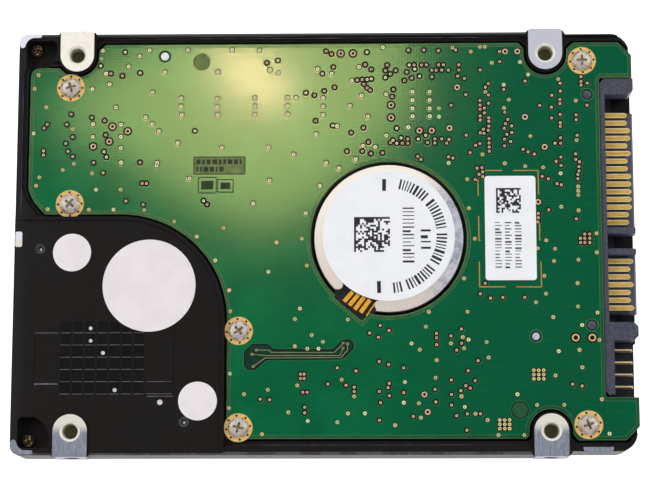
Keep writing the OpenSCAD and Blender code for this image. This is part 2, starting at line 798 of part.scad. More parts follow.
latch_at = [-35.3, -29.23];
ramp_y = 27.3;       // +Y side of the ramp
ramp_foot_z = 4.3;   // lower face of the foot that is screwed down

// Two fingers with rounded tips on a round hub
module latch_arm() color([0.85, 0.85, 0.8]) at(latch_at) slab(3.6, 5.2) difference() {
    union() {
        circle(1.3);
        rotate(15.6) rect(0, 4.35, -0.5, 0.4);
        translate([4.2, 1.17]) circle(0.45);
        rotate(-48) rect(0, 2.6, -0.6, 0.6);
        translate([1.8, -2.0]) circle(1.0);
    }
    circle(0.55);
}

module latch_pin() color(steel) at(latch_at) {
    rod(0.5, 2.8, vcm_ceiling);
    rod(0.9, 2.4, 3.2);
}

module load_ramp() color([0.9, 0.88, 0.8]) difference() {
    union() {
        intersection() {
            at(pivot) slab(0.95, floor_lo) sector(34.2, 36.4, 60.5, 71.5);
            block(-40, 0, 0, ramp_y, 0, 9);
        }
        block(-23.5, -16.8, 24.95, ramp_y, ramp_foot_z, floor_lo);
    }
    at(spindle) rod(chamber_r, 0, 9);
    // One slot for each load beam
    at(pivot) for (z = [1.25, 2.5, 3.47, 4.73]) slab(z, z + 0.4) sector(33, 35.6, 50, 80);
    at(ramp_screw_at) rod(0.6, 4, 6);
}

module ramp_screw() color(dark_steel) at(ramp_screw_at) {
    star_head(1.0, 3.8, ramp_foot_z);
    rod(0.55, 4.2, 6.3);
}

// ---------- head wiring and filters ----------

loop_at = [-35.94, 1.72];    // centre of the ribbon's curve
loop_r = 5.0;
ribbon_t = 0.15;

// The ribbon leaves the side of the arm hub, makes one curve and ends at the connector block
module flex_cable() color([0.7, 0.42, 0.12]) slab(1.6, 5.0) {
    translate([-33.61, -4.24]) rotate(60) rect(0, 4, 0, ribbon_t);
    translate(loop_at) {
        sector(loop_r - ribbon_t, loop_r, -30, 90);
        rect(-2.06, 0.01, loop_r - ribbon_t, loop_r);
    }
}

module head_connector() color([0.15, 0.15, 0.16]) {
    block(-41.0, -35.0, 6.8, 11.0, 4.0, floor_lo);
    block(head_plug_x[0], head_plug_x[1], head_plug_y[0], head_plug_y[1], floor_lo - 0.1, pcb_b);
}

module recirculation_filter() color(filter_white)
    at([-17.0, -24.7]) rotate(-45) block(-2.4, 2.4, -0.75, 0.75, 1.0, 5.4);

module breather_filter() color(filter_white) at(breather_at) difference() {
    rod(3.0, cover_top, 2.3);
    rod(breather_hole_r, 0, 1.6);
}

base_casting();
top_cover();
cover_gasket();
cover_label();
cover_screws();
seal_disc_large();
seal_discs_small();
pcb();
pcb_label();
pcb_screws();
insulator_sheet();
main_controller();
memory_chip();
motor_driver();
capacitors();
inductors();
crystal();
sata_housing();
power_contacts();
signal_contacts();
jumper_pins();
motor_base();
spindle_label();
motor_connector();
motor_contacts();
stator_core();
stator_coils();
bearing_sleeve();
spindle_shaft();
spindle_hub();
rotor_magnet();
platter_lower();
platter_upper();
platter_spacer();
disk_clamp();
clamp_screws();
pivot_shaft();
pivot_bearings();
pivot_screw();
pivot_sleeve();
e_block();
load_beams();
head_sliders();
preamp_chip();
voice_coil();
coil_frame();
yoke_upper();
yoke_lower();
magnet_upper();
magnet_lower();
yoke_posts();
crash_stops();
latch_arm();
latch_pin();
load_ramp();
ramp_screw();
flex_cable();
head_connector();
recirculation_filter();
breather_filter();
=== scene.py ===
# Looks of a 2.5 inch hard disk drive that lies cover down, with its circuit board up.
# X runs along the drive with the connector at +X, Y runs across it, and Z is up.
# Lengths are millimetres, turned into metres when a mesh is made; the studio is in metres.
# Textures read object coordinates, scaled to millimetres.
import bpy
import math
import random
from functools import cached_property, partialmethod
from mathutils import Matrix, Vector


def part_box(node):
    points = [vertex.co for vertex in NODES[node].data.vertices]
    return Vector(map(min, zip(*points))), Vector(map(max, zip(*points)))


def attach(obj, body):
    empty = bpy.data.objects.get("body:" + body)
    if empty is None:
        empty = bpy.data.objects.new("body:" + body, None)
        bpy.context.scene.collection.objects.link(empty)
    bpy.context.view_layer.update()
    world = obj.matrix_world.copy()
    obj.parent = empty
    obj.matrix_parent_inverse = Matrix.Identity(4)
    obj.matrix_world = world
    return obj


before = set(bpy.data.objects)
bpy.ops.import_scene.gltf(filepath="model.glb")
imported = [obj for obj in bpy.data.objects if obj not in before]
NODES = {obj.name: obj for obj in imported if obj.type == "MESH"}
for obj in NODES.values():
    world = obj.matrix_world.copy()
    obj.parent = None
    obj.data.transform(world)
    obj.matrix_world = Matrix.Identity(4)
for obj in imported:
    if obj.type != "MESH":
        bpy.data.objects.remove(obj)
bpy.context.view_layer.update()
rng = random.Random(7)


def top_of(node):
    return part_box(node)[1][2] * 1000


BOARD_Z = top_of("pcb")
SUNK = BOARD_Z - 0.02   # board details start just under the surface
DEEP = BOARD_Z - 0.03
SHALLOW = BOARD_Z - 0.01
DECK_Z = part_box("seal_disc_large")[0][2] * 1000
SPINDLE = (10.43, 0.33)
# Tapped holes of the casting, mirrored in Y
TAPPED_X = (-40.5, 36.1)
TAPPED_Y = 30.86


# ------------------------------------------------------------------ node graphs

def lin(rgb):
    """Linear colour from sRGB values of 0 to 255"""
    return tuple((v / 255) / 12.92 if v <= 10 else (((v / 255) + 0.055) / 1.055) ** 2.4
                 for v in rgb)


def dimmed(rgb, factor):
    return tuple(factor * v for v in lin(rgb))


class Graph:
    """Writes the shader nodes of one material. Helpers take sockets or values, return a socket."""

    def __init__(self, name):
        self.material = bpy.data.materials.new(name)
        self.material.use_nodes = True
        self.tree = self.material.node_tree
        self.tree.nodes.clear()
        self.output = self.node("OutputMaterial")

    def node(self, kind, inputs={}, **settings):
        """A new node; inputs are keyed by name or index"""
        node = self.tree.nodes.new("ShaderNode" + kind)
        for name, value in settings.items():
            setattr(node, name, value)
        for key, value in inputs.items():
            self.put(node.inputs[key], value)
        return node

    def put(self, socket, value):
        if hasattr(value, "is_output"):
            self.tree.links.new(value, socket)
        elif isinstance(value, tuple):
            # a colour gains its alpha
            missing = len(socket.default_value) - len(value)
            socket.default_value = value + (1.0,) * missing
        else:
            socket.default_value = value

    @cached_property
    def position(self):
        """Object coordinates in millimetres"""
        coords = self.node("TexCoord").outputs["Object"]
        return self.node("VectorMath", {0: coords, "Scale": 1000.0}, operation="SCALE").outputs[0]

    @cached_property
    def axes(self):
        return list(self.node("SeparateXYZ", {0: self.position}).outputs)

    x = property(lambda self: self.axes[0])
    y = property(lambda self: self.axes[1])
    z = property(lambda self: self.axes[2])

    def calc(self, operation, first, second=0.0, *rest):
        """A math node; further values are chained through more of them"""
        result = self.node("Math", {0: first, 1: second}, operation=operation).outputs[0]
        return self.calc(operation, result, *rest) if rest else result

    add = partialmethod(calc, "ADD")
    sub = partialmethod(calc, "SUBTRACT")
    mul = partialmethod(calc, "MULTIPLY")
    highest = partialmethod(calc, "MAXIMUM")
    lowest = partialmethod(calc, "MINIMUM")
    above = partialmethod(calc, "GREATER_THAN")
    below = partialmethod(calc, "LESS_THAN")
    sine = partialmethod(calc, "SINE")
    absolute = partialmethod(calc, "ABSOLUTE")

    def between(self, value, low, high):
        return self.mul(self.above(value, low), self.below(value, high))

    def ramp(self, value, span, to=(0.0, 1.0)):
        """value carried smoothly from the span onto the range `to`"""
        inputs = dict(enumerate((value, *span, *to)))
        return self.node("MapRange", inputs, interpolation_type="SMOOTHSTEP").outputs[0]

    def roughness(self, grain, low, high):
        return self.ramp(grain, span=(0.3, 0.7), to=(low, high))

    def mapped(self, scale, rotation=(0, 0, 0), location=(0, 0, 0)):
        inputs = {0: self.position, "Location": location, "Rotation": rotation, "Scale": scale}
        return self.node("Mapping", inputs).outputs[0]

    def noise(self, scale, detail=3.0, roughness=0.55, vector=None, distortion=0.0):
        return self.node("TexNoise", {
            "Vector": vector or self.position, "Scale": scale, "Detail": detail,
            "Roughness": roughness, "Distortion": distortion}).outputs[0]

    def wave(self, scale, axis, distortion):
        return self.node("TexWave", {
            "Vector": self.position, "Scale": scale, "Distortion": distortion,
            "Detail": 2.0}, bands_direction=axis).outputs["Fac"]

    def mix(self, factor, first, second):
        """Mix of two linear colours"""
        return self.node("Mix", {0: factor, 6: first, 7: second}, data_type="RGBA").outputs[2]

    def blend(self, factor, first, second):
        """Mix of two sRGB colours"""
        return self.mix(factor, lin(first), lin(second))

    def tint(self, color, mask, rgb):
        """color with an sRGB colour laid over it where the mask is"""
        return self.mix(mask, color, lin(rgb))

    def distance(self, center):
        """Distance from the vertical line through a centre"""
        dx = self.sub(self.x, center[0])
        dy = self.sub(self.y, center[1])
        return self.calc("SQRT", self.add(self.mul(dx, dx), self.mul(dy, dy)))

    def angle(self, center):
        """Angle about the vertical line through a centre"""
        return self.calc("ARCTAN2", self.sub(self.y, center[1]), self.sub(self.x, center[0]))

    def bump(self, height, depth, strength=1.0, under=None):
        """Relief with its depth in millimetres, over another relief if one is given"""
        inputs = {"Strength": strength, "Distance": depth / 1000, "Height": height}
        if under is not None:
            inputs["Normal"] = under
        return self.node("Bump", inputs).outputs[0]

    def done(self, color, rough, metal=0.0, normal=None, **more):
        inputs = {"Base Color": color, "Roughness": rough, "Metallic": metal}
        if normal is not None:
            inputs["Normal"] = normal
        for name, value in more.items():
            inputs[name.replace("_", " ")] = value
        self.put(self.output.inputs[0], self.node("BsdfPrincipled", inputs).outputs[0])
        return self.material


# ------------------------------------------------------------------ materials

def surface(name, base, second, rough, drift, grain, relief, metal=0.0, stretch=(1, 1, 1),
            wear=0.0, **more):
    """A finish with slow colour drift, fine grain and relief, and optional small worn specks"""
    g = Graph(name)
    vector = g.mapped(scale=stretch)
    slow = g.noise(scale=drift, vector=vector)
    fine = g.noise(scale=grain, detail=4, roughness=0.6, vector=vector)
    color = g.blend(g.ramp(slow, span=(0.35, 0.65)), base, second)
    grain_mask = g.ramp(fine, span=(0.35, 0.75), to=(0, 0.35))
    color = g.mix(grain_mask, color, dimmed(base, 0.72))
    if wear:
        specks = g.noise(scale=grain * 0.35, detail=5, roughness=0.7)
        lighter = tuple(min(1.0, 1.35 * v + 0.03) for v in lin(second))
        color = g.mix(g.ramp(specks, span=(0.68, 0.74), to=(0, wear)), color, lighter)
    return g.done(color, g.roughness(fine, rough - 0.06, rough + 0.06), metal,
                  g.bump(fine, depth=relief), **more)


def moulding():
    """Slate moulding with a mottled skin, and painted shade low down between its walls"""
    g = Graph("slate connector moulding")
    slow = g.noise(scale=0.35)
    patch = g.noise(scale=2.4, detail=4, roughness=0.62)
    fine = g.noise(scale=8, detail=4, roughness=0.6)
    color = g.blend(g.ramp(patch, span=(0.36, 0.66)), (56, 58, 73), (82, 84, 100))
    color = g.tint(color, g.ramp(slow, span=(0.4, 0.65), to=(0, 0.35)), (62, 62, 76))
    color = g.tint(color, g.ramp(fine, span=(0.62, 0.74), to=(0, 0.3)), (112, 114, 128))
    # painted shade: darker low down between the walls
    color = g.tint(color, g.ramp(g.z, span=(5.35, 5.1)), (23, 25, 35))
    # the tongue lies in the shade of the contacts that stand on it
    tongue = g.mul(g.between(g.x, 45.68, 49.1), g.between(g.z, 6.45, 6.7))
    color = g.tint(color, tongue, (32, 33, 43))
    return g.done(color, g.roughness(fine, 0.36, 0.48), 0.0, g.bump(patch, depth=0.02))


def turned(name, base, second, rough, metal):
    """Metal with lathe rings about the spindle and a soft streak that turns with the angle"""
    g = Graph(name)
    rings_per_mm = 5.0
    rings = g.sine(g.mul(g.distance(SPINDLE), rings_per_mm * 6.2832))
    grain = g.noise(scale=4, detail=2)
    streak = g.sine(g.mul(g.angle(SPINDLE), 2.0))
    sheen = g.ramp(g.add(g.mul(streak, 0.35), g.mul(rings, 0.2)), span=(-0.5, 0.5))
    return g.done(g.blend(sheen, base, second), g.roughness(grain, rough - 0.06, rough + 0.06),
                  metal, g.bump(rings, depth=0.004))


def casting():
    """Black coating, with bare metal on lug faces, pads, side faces and tapped holes"""
    g = Graph("black coated casting")
    grain = g.noise(scale=5.5, detail=5, roughness=0.65)
    fine = g.noise(scale=22, roughness=0.6)
    slow = g.noise(scale=0.12)
    black = g.blend(g.ramp(grain, span=(0.35, 0.7)), (16, 11, 8), (25, 20, 16))
    black = g.tint(black, g.ramp(slow, span=(0.45, 0.62), to=(0, 0.55)), (20, 19, 21))
    # the rim at -X catches a cooler light
    black = g.tint(black, g.ramp(g.x, span=(-47.5, -49.9), to=(0, 0.6)), (31, 33, 39))
    dust = g.noise(scale=9, detail=5, roughness=0.75)
    black = g.tint(black, g.ramp(dust, span=(0.70, 0.76), to=(0, 0.35)), (60, 57, 55))
    # the lip under the connector lies in its shade
    black = g.tint(black, g.mul(g.above(g.x, 45.0), g.below(g.z, 4.4)), (13, 14, 19))

    lugs = g.above(g.z, 9.43)
    corners = g.mul(g.below(g.x, -46.0), g.above(g.absolute(g.y), 31.6))
    middle = g.mul(g.below(g.x, -48.78), g.between(g.y, -1.2, 1.7))
    end_pads = g.mul(g.above(g.z, 9.28), g.highest(corners, middle))
    front_pad = g.mul(g.above(g.z, 9.28), g.mul(g.above(g.x, 41.0), g.below(g.y, -32.9)))
    sides = g.mul(g.above(g.absolute(g.y), 34.88), g.above(g.z, 3.55))
    bare = g.highest(g.highest(lugs, end_pads), g.highest(front_pad, sides))
    near = g.lowest(*(g.distance((x, y)) for x in TAPPED_X for y in (TAPPED_Y, -TAPPED_Y)))
    bore = g.mul(g.below(near, 1.30), g.above(g.z, 6.3))
    mouth = g.mul(g.below(near, 1.72), g.above(g.z, 9.02))

    scratches = g.noise(scale=1.6, detail=5, roughness=0.7,
                        vector=g.mapped(scale=(0.5, 5.5, 1.0), rotation=(0, 0, 0.9)))
    mottle = g.noise(scale=1.5, detail=5, roughness=0.65, distortion=0.6)
    brush = g.noise(scale=1.4, detail=4, roughness=0.65, vector=g.mapped(scale=(3.6, 0.5, 0.5)))
    # painted light on the bare metal: bright and warm on the +Y half, cream at -X paling to silver
    # at +X; painted shade on the -Y half leaves a colder, darker brushed grey
    warm = g.blend(g.ramp(g.x, span=(-20, 20)), (255, 250, 236), (202, 202, 214))
    warm = g.tint(warm, g.ramp(mottle, span=(0.45, 0.75), to=(0, 0.28)), (190, 190, 202))
    warm = g.tint(warm, g.mul(end_pads, 0.85), (232, 232, 250))
    cold = g.blend(g.ramp(brush, span=(0.34, 0.66)), (122, 128, 144), (156, 160, 173))
    cold = g.tint(cold, g.mul(g.ramp(scratches, span=(0.52, 0.66)), 0.3), (86, 90, 104))
    # painted light: the -Y metal turns cream towards the middle of the drive
    cold = g.tint(cold, g.ramp(g.y, span=(-31.4, -29.6)), (232, 228, 216))
    metal = g.mix(g.below(g.y, 0.0), warm, cold)
    metal = g.tint(metal, g.mul(mouth, g.below(g.z, 9.49)), (236, 234, 226))
    metal = g.tint(metal, g.mul(bore, g.below(g.z, 9.08)), (176, 172, 146))
    bare = g.highest(bare, g.highest(mouth, bore))
    # painted highlight along the long bevel at -Y, broken into patches like coating rubbed thin
    rub = g.noise(scale=0.5, detail=4, vector=g.mapped(scale=(1, 0.2, 0.2)))
    bevel = g.mul(g.below(g.y, -34.12), g.above(g.z, 8.5),
                  g.ramp(rub, span=(0.36, 0.6), to=(0.08, 0.40)))
    color = g.tint(black, g.mul(bevel, g.below(g.z, 9.05)), (104, 104, 104))
    color = g.mix(bare, color, metal)
    rough = g.sub(g.roughness(grain, 0.36, 0.52), g.mul(bare, 0.08))
    relief = g.bump(grain, depth=0.02, strength=0.6)
    relief = g.bump(fine, depth=0.006, strength=0.7, under=relief)
    return g.done(color, rough, g.mul(bare, 0.12), relief, Specular_IOR_Level=0.26)


def board():
    """Green solder mask over a glass-fibre laminate: weave, copper pours, a soft patchy tone and
    painted shade towards +X
    """
    g = Graph("green solder mask")
    weave = g.mul(g.add(g.wave(scale=0.66, axis="X", distortion=0.35),
                        g.wave(scale=0.66, axis="Y", distortion=0.35)), 0.5)
    slow = g.noise(scale=0.09)
    fine = g.noise(scale=7, detail=4, roughness=0.6)
    color = g.blend(g.ramp(slow, span=(0.38, 0.62)), (3, 92, 58), (8, 102, 62))
    # painted shade: the green darkens towards the connector at +X
    color = g.tint(color, g.ramp(g.x, span=(-14, 34), to=(0, 0.8)), (7, 80, 54))
    # wide copper pours show through as a slightly different tone with soft straight streaks
    pour = g.noise(scale=0.11, detail=2,
                   vector=g.mapped(location=(9, 4, 2), scale=(1.0, 1.4, 0.0)))
    color = g.tint(color, g.mul(g.ramp(pour, span=(0.47, 0.53)), 0.30), (8, 84, 50))
    streak = g.noise(scale=1.1, roughness=0.6, vector=g.mapped(scale=(0.12, 2.2, 0.0)))
    color = g.tint(color, g.ramp(streak, span=(0.52, 0.70), to=(0, 0.16)), (30, 118, 70))
    color = g.tint(color, g.ramp(weave, span=(0.3, 0.75), to=(0, 0.11)), (30, 122, 74))
    specks = g.noise(scale=4.5, detail=5, roughness=0.75)
    color = g.tint(color, g.ramp(specks, span=(0.69, 0.75), to=(0, 0.3)), (74, 150, 100))
    # cut edges show bare laminate
    normal = g.node("SeparateXYZ", {0: g.node("NewGeometry").outputs["Normal"]})
    layers = g.ramp(g.wave(scale=6, axis="Z", distortion=1.0), span=(0.3, 0.7))
    color = g.mix(g.below(g.absolute(normal.outputs[2]), 0.4), color,
                  g.blend(layers, (140, 138, 84), (92, 100, 58)))
    relief = g.bump(fine, depth=0.0012, strength=0.5)
    relief = g.bump(weave, depth=0.0034, strength=0.4, under=relief)
    return g.done(color, g.roughness(fine, 0.085, 0.14), 0.0, relief, Specular_IOR_Level=0.36)


def paper(name, base, second):
    g = Graph(name)
    fibre = g.noise(scale=5, detail=5, roughness=0.7, vector=g.mapped(scale=(1.0, 2.2, 1.0)))
    slow = g.noise(scale=0.22, detail=2)
    color = g.blend(g.ramp(slow, span=(0.35, 0.65)), base, second)
    color = g.mix(g.ramp(fibre, span=(0.45, 0.8), to=(0, 0.16)), color, dimmed(base, 0.8))
    return g.done(color, g.roughness(fibre, 0.37, 0.47), 0.0, g.bump(fibre, depth=0.003),
                  Specular_IOR_Level=0.4)


def motor_ring():
    """Turned flange with painted light: cream and brightest towards +Y, a painted silver
    reflection, streaky, towards +X
    """
    g = Graph("turned motor flange")
    rings = g.sine(g.mul(g.distance(SPINDLE), 31.0))
    fine = g.noise(scale=9, detail=4, roughness=0.7)
    smear = g.noise(scale=1, detail=4, roughness=0.7, vector=g.mapped(scale=(0.8, 0.8, 4.0)))
    silver = g.blend(g.ramp(smear, span=(0.4, 0.62)), (196, 196, 206), (150, 152, 166))
    rays = g.sine(g.mul(g.angle(SPINDLE), 9.0))
    silver = g.tint(silver, g.ramp(rays, span=(0.2, 0.9), to=(0, 0.3)), (222, 222, 228))
    # painted light: cream, brightening towards +Y, turning to a painted silver reflection towards
    # +X
    cream = g.blend(g.ramp(g.y, span=(-8, 8)), (228, 216, 206), (255, 247, 232))
    silver_side = g.ramp(g.x, span=(SPINDLE[0] + 4.5, SPINDLE[0] + 10.5))
    color = g.mix(silver_side, cream, silver)
    # milling arcs on the oblong end
    arcs = g.sine(g.mul(g.distance((2.0, -16.5)), 15.0))
    oblong = g.mul(g.below(g.y, -7.2), g.above(g.x, 6.8))
    arc_mask = g.mul(oblong, g.ramp(arcs, span=(-0.2, 0.5), to=(0, 0.34)))
    color = g.tint(color, arc_mask, (168, 160, 168))
    color = g.tint(color, g.ramp(fine, span=(0.5, 0.8), to=(0, 0.2)), (150, 146, 146))
    relief = g.bump(g.add(g.mul(rings, 0.4), fine), depth=0.005, strength=0.8)
    return g.done(color, g.roughness(fine, 0.28, 0.42), 0.06, relief)


def disk():
    g = Graph("polished disk coating")
    radius = g.distance(SPINDLE)
    patches = g.noise(scale=1, roughness=0.6)
    rings = g.sine(g.mul(radius, 40.0))
    rays = g.sine(g.mul(g.angle(SPINDLE), 3.0))
    color = g.blend(g.ramp(rays, span=(-1, 1)), (198, 200, 210), (220, 220, 226))
    color = g.tint(color, g.below(radius, 13.6), (150, 150, 158))
    return g.done(color, g.roughness(patches, 0.03, 0.08), 1.0, g.bump(rings, depth=0.0003))


def brushed(name, base, second, rough, stretch=(0.25, 9.0, 1.0)):
    g = Graph(name)
    lines = g.noise(scale=3, detail=5, roughness=0.75, vector=g.mapped(scale=stretch))
    slow = g.noise(scale=0.15, detail=2)
    color = g.blend(g.ramp(lines, span=(0.35, 0.65)), base, second)
    color = g.tint(color, g.ramp(slow, span=(0.4, 0.6), to=(0, 0.2)), base)
    return g.done(color, g.roughness(lines, rough - 0.08, rough + 0.08), 0.9,
                  g.bump(lines, depth=0.003))


def screw_metal(name, base, second, dark, recess=None, tip=None):
    """Plated screw. recess: heights where painted shade in its recess starts and is full. tip:
    height above which the tip gets painted shade with a few painted glints.
    """
    g = Graph(name)
    fine = g.noise(scale=7, detail=5, roughness=0.7)
    smear = g.noise(scale=2.2, detail=4, roughness=0.7, distortion=1.2)
    color = g.blend(g.ramp(smear, span=(0.38, 0.64)), base, second)
    color = g.tint(color, g.ramp(fine, span=(0.5, 0.8), to=(0, 0.22)), dark)
    if recess:
        # painted shade in the recess, in patches, full deep down
        patches = g.noise(scale=2.4, detail=4, roughness=0.7)
        patches = g.ramp(patches, span=(0.46, 0.62), to=(0.25, 0.95))
        color = g.tint(color, g.mul(g.ramp(g.z, span=recess), patches), (52, 44, 36))
    if tip:
        # painted shade over the tip in its pocket, with a few painted glints
        tip_shade_and_glints = g.blend(g.ramp(smear, span=(0.55, 0.62)), (24, 19, 14), (214, 178, 116))
        color = g.mix(g.above(g.z, tip), color, tip_shade_and_glints)
    return g.done(color, g.roughness(fine, 0.22, 0.42), 0.14, g.bump(fine, depth=0.006))


def gold(name, base, second, rough, metal, streak=(0.5, 6.0, 1.0), dark=None):
    """Streaky gold or copper, with optional dark streaks"""
    g = Graph(name)
    lines = g.noise(scale=2, detail=4, roughness=0.7, vector=g.mapped(scale=streak))
    fine = g.noise(scale=8, roughness=0.6)
    color = g.blend(g.ramp(lines, span=(0.36, 0.64)), base, second)
    if dark:
        color = g.tint(color, g.ramp(lines, span=(0.60, 0.72), to=(0, 0.55)), dark)
    return g.done(color, g.roughness(fine, rough - 0.08, rough + 0.08), metal,
                  g.bump(g.add(lines, fine), depth=0.004))


# Plain surfaces. Columns: material name, colour, second colour, roughness, scale of the colour
# drift, scale of the grain, relief in millimetres
PLAIN = {
    "ink": ("label ink", (26, 25, 28), (38, 37, 42), 0.5, 1.2, 14, 0.002),
    "ink_grey": ("thin label ink", (60, 60, 66), (84, 84, 92), 0.5, 1.5, 14, 0.002),
    "hole": ("dark hole", (16, 10, 8), (34, 18, 12), 0.7, 3, 9, 0.004),
    "moat": ("cleared ring round a via", (9, 13, 8), (5, 8, 5), 0.6, 3, 9, 0.004),
    "mask_dark": ("mask over bare laminate", (10, 62, 38), (16, 76, 46), 0.3, 0.4, 8, 0.004),
    "halo": ("painted highlight round a via", (34, 98, 60), (48, 112, 68), 0.35, 2, 9, 0.004),
    "halo_bright": ("painted sheen round a via", (214, 216, 146), (198, 204, 132), 0.4, 2, 9, 0.004),
    "halo_mid": ("painted half sheen round a via", (140, 172, 104), (124, 158, 94), 0.4, 2, 9, 0.004),
    "via_rim": ("brown rim of a via", (78, 78, 34), (60, 66, 30), 0.4, 2, 9, 0.004),
    "shade": ("shaded mask round a via", (50, 76, 38), (38, 62, 32), 0.45, 2, 9, 0.004),
    "mask_pale": ("mask edge line", (32, 102, 62), (46, 116, 72), 0.3, 0.5, 9, 0.004),
    "trace": ("bare track", (150, 150, 112), (124, 134, 96), 0.4, 0.8, 8, 0.004),
    "island": ("mask over cleared copper", (14, 54, 38), (10, 44, 30), 0.35, 0.8, 8, 0.004),
    "blob": ("laminate island with painted sheen", (112, 128, 66), (88, 110, 56), 0.42, 0.8, 8, 0.006),
    "blob_dark": ("masked island", (30, 88, 54), (22, 76, 46), 0.42, 0.8, 8, 0.006),
    "silk": ("board legend ink", (30, 48, 26), (44, 60, 34), 0.45, 1, 10, 0.003),
    "silk_fill": ("board legend panel with painted sheen", (98, 112, 62), (122, 134, 76), 0.4, 0.8, 8, 0.003),
    "peg": ("moulded peg", (70, 80, 92), (50, 60, 72), 0.42, 1, 9, 0.006),
    "peg_ring": ("ring of clear adhesive", (14, 56, 42), (22, 66, 48), 0.25, 1.2, 9, 0.006),
    "pale_peg": ("pale moulded peg", (216, 210, 220), (186, 182, 194), 0.4, 1, 9, 0.006),
    "peg_line": ("pale ring line", (92, 136, 92), (70, 118, 78), 0.35, 1.2, 9, 0.004),
    "white_pin": ("white pin", (244, 242, 234), (224, 222, 214), 0.4, 1.2, 9, 0.004),
    "thread": ("tapped thread", (206, 202, 178), (150, 146, 118), 0.32, 1, 10, 0.006),
    "tile": ("raised deck tile", (11, 10, 12), (17, 16, 19), 0.5, 0.5, 7, 0.012),
    "tile_line": ("tile edge that catches light", (84, 81, 82), (112, 110, 114),
                  0.4, 0.6, 8, 0.01),
    "punch": ("bright punch mark and painted glint", (244, 244, 246), (214, 214, 220), 0.3, 2, 9, 0.006),
    "rim_line": ("painted highlight on a rim edge", (84, 84, 88), (48, 48, 52), 0.45, 0.25, 4, 0.01),
    "recess": ("shaded moulding", (24, 24, 32), (18, 18, 24), 0.6, 0.5, 6, 0.015),
    "black_plastic": ("black moulding", (20, 20, 22), (30, 30, 33), 0.4, 0.7, 7, 0.012),
    "gasket": ("foam gasket", (22, 22, 22), (32, 32, 33), 0.9, 1.5, 12, 0.05),
    "insul": ("grey film", (50, 50, 56), (62, 62, 68), 0.5, 0.3, 6, 0.006),
    "chip": ("moulded chip", (28, 28, 30), (38, 38, 41), 0.55, 0.8, 10, 0.015),
    "ceramic": ("fired ceramic", (168, 140, 102), (142, 116, 84), 0.5, 1.5, 9, 0.008),
    "stator": ("stamped laminations", (98, 98, 104), (78, 78, 84), 0.45, 1, 7, 0.01),
    "steel": ("ground steel", (196, 198, 204), (172, 174, 180), 0.22, 0.8, 6, 0.003),
    "magnet": ("satin nickel plate", (164, 164, 172), (144, 144, 154), 0.3, 0.5, 6, 0.004),
    "rubber": ("bump rubber", (20, 20, 20), (30, 30, 30), 0.8, 2, 10, 0.02),
    "cream_plastic": ("cream moulding", (224, 219, 200), (208, 202, 182), 0.45, 0.7, 7, 0.01),
    "flex": ("polyimide ribbon", (168, 98, 34), (140, 76, 22), 0.26, 0.6, 7, 0.004),
    "felt": ("filter felt", (230, 229, 223), (206, 205, 198), 0.95, 2.2, 14, 0.08),
}
PLAIN_EXTRAS = {
    "ink": dict(wear=0.25),
    "ink_grey": dict(wear=0.3),
    "hole": dict(Specular_IOR_Level=0.15),
    "moat": dict(Specular_IOR_Level=0.2),
    "mask_dark": dict(Coat_Weight=0.3),
    "shade": dict(Specular_IOR_Level=0.2),
    "thread": dict(metal=0.2),
    "tile": dict(Specular_IOR_Level=0.14),
    "punch": dict(metal=0.3),
    "stator": dict(metal=0.8),
    "steel": dict(metal=0.95, stretch=(1, 1, 7)),
    "magnet": dict(metal=0.95),
    "flex": dict(stretch=(1, 1, 6), Coat_Weight=0.4),
}
FINISHES = {key: surface(*row, **PLAIN_EXTRAS.get(key, {})) for key, row in PLAIN.items()}
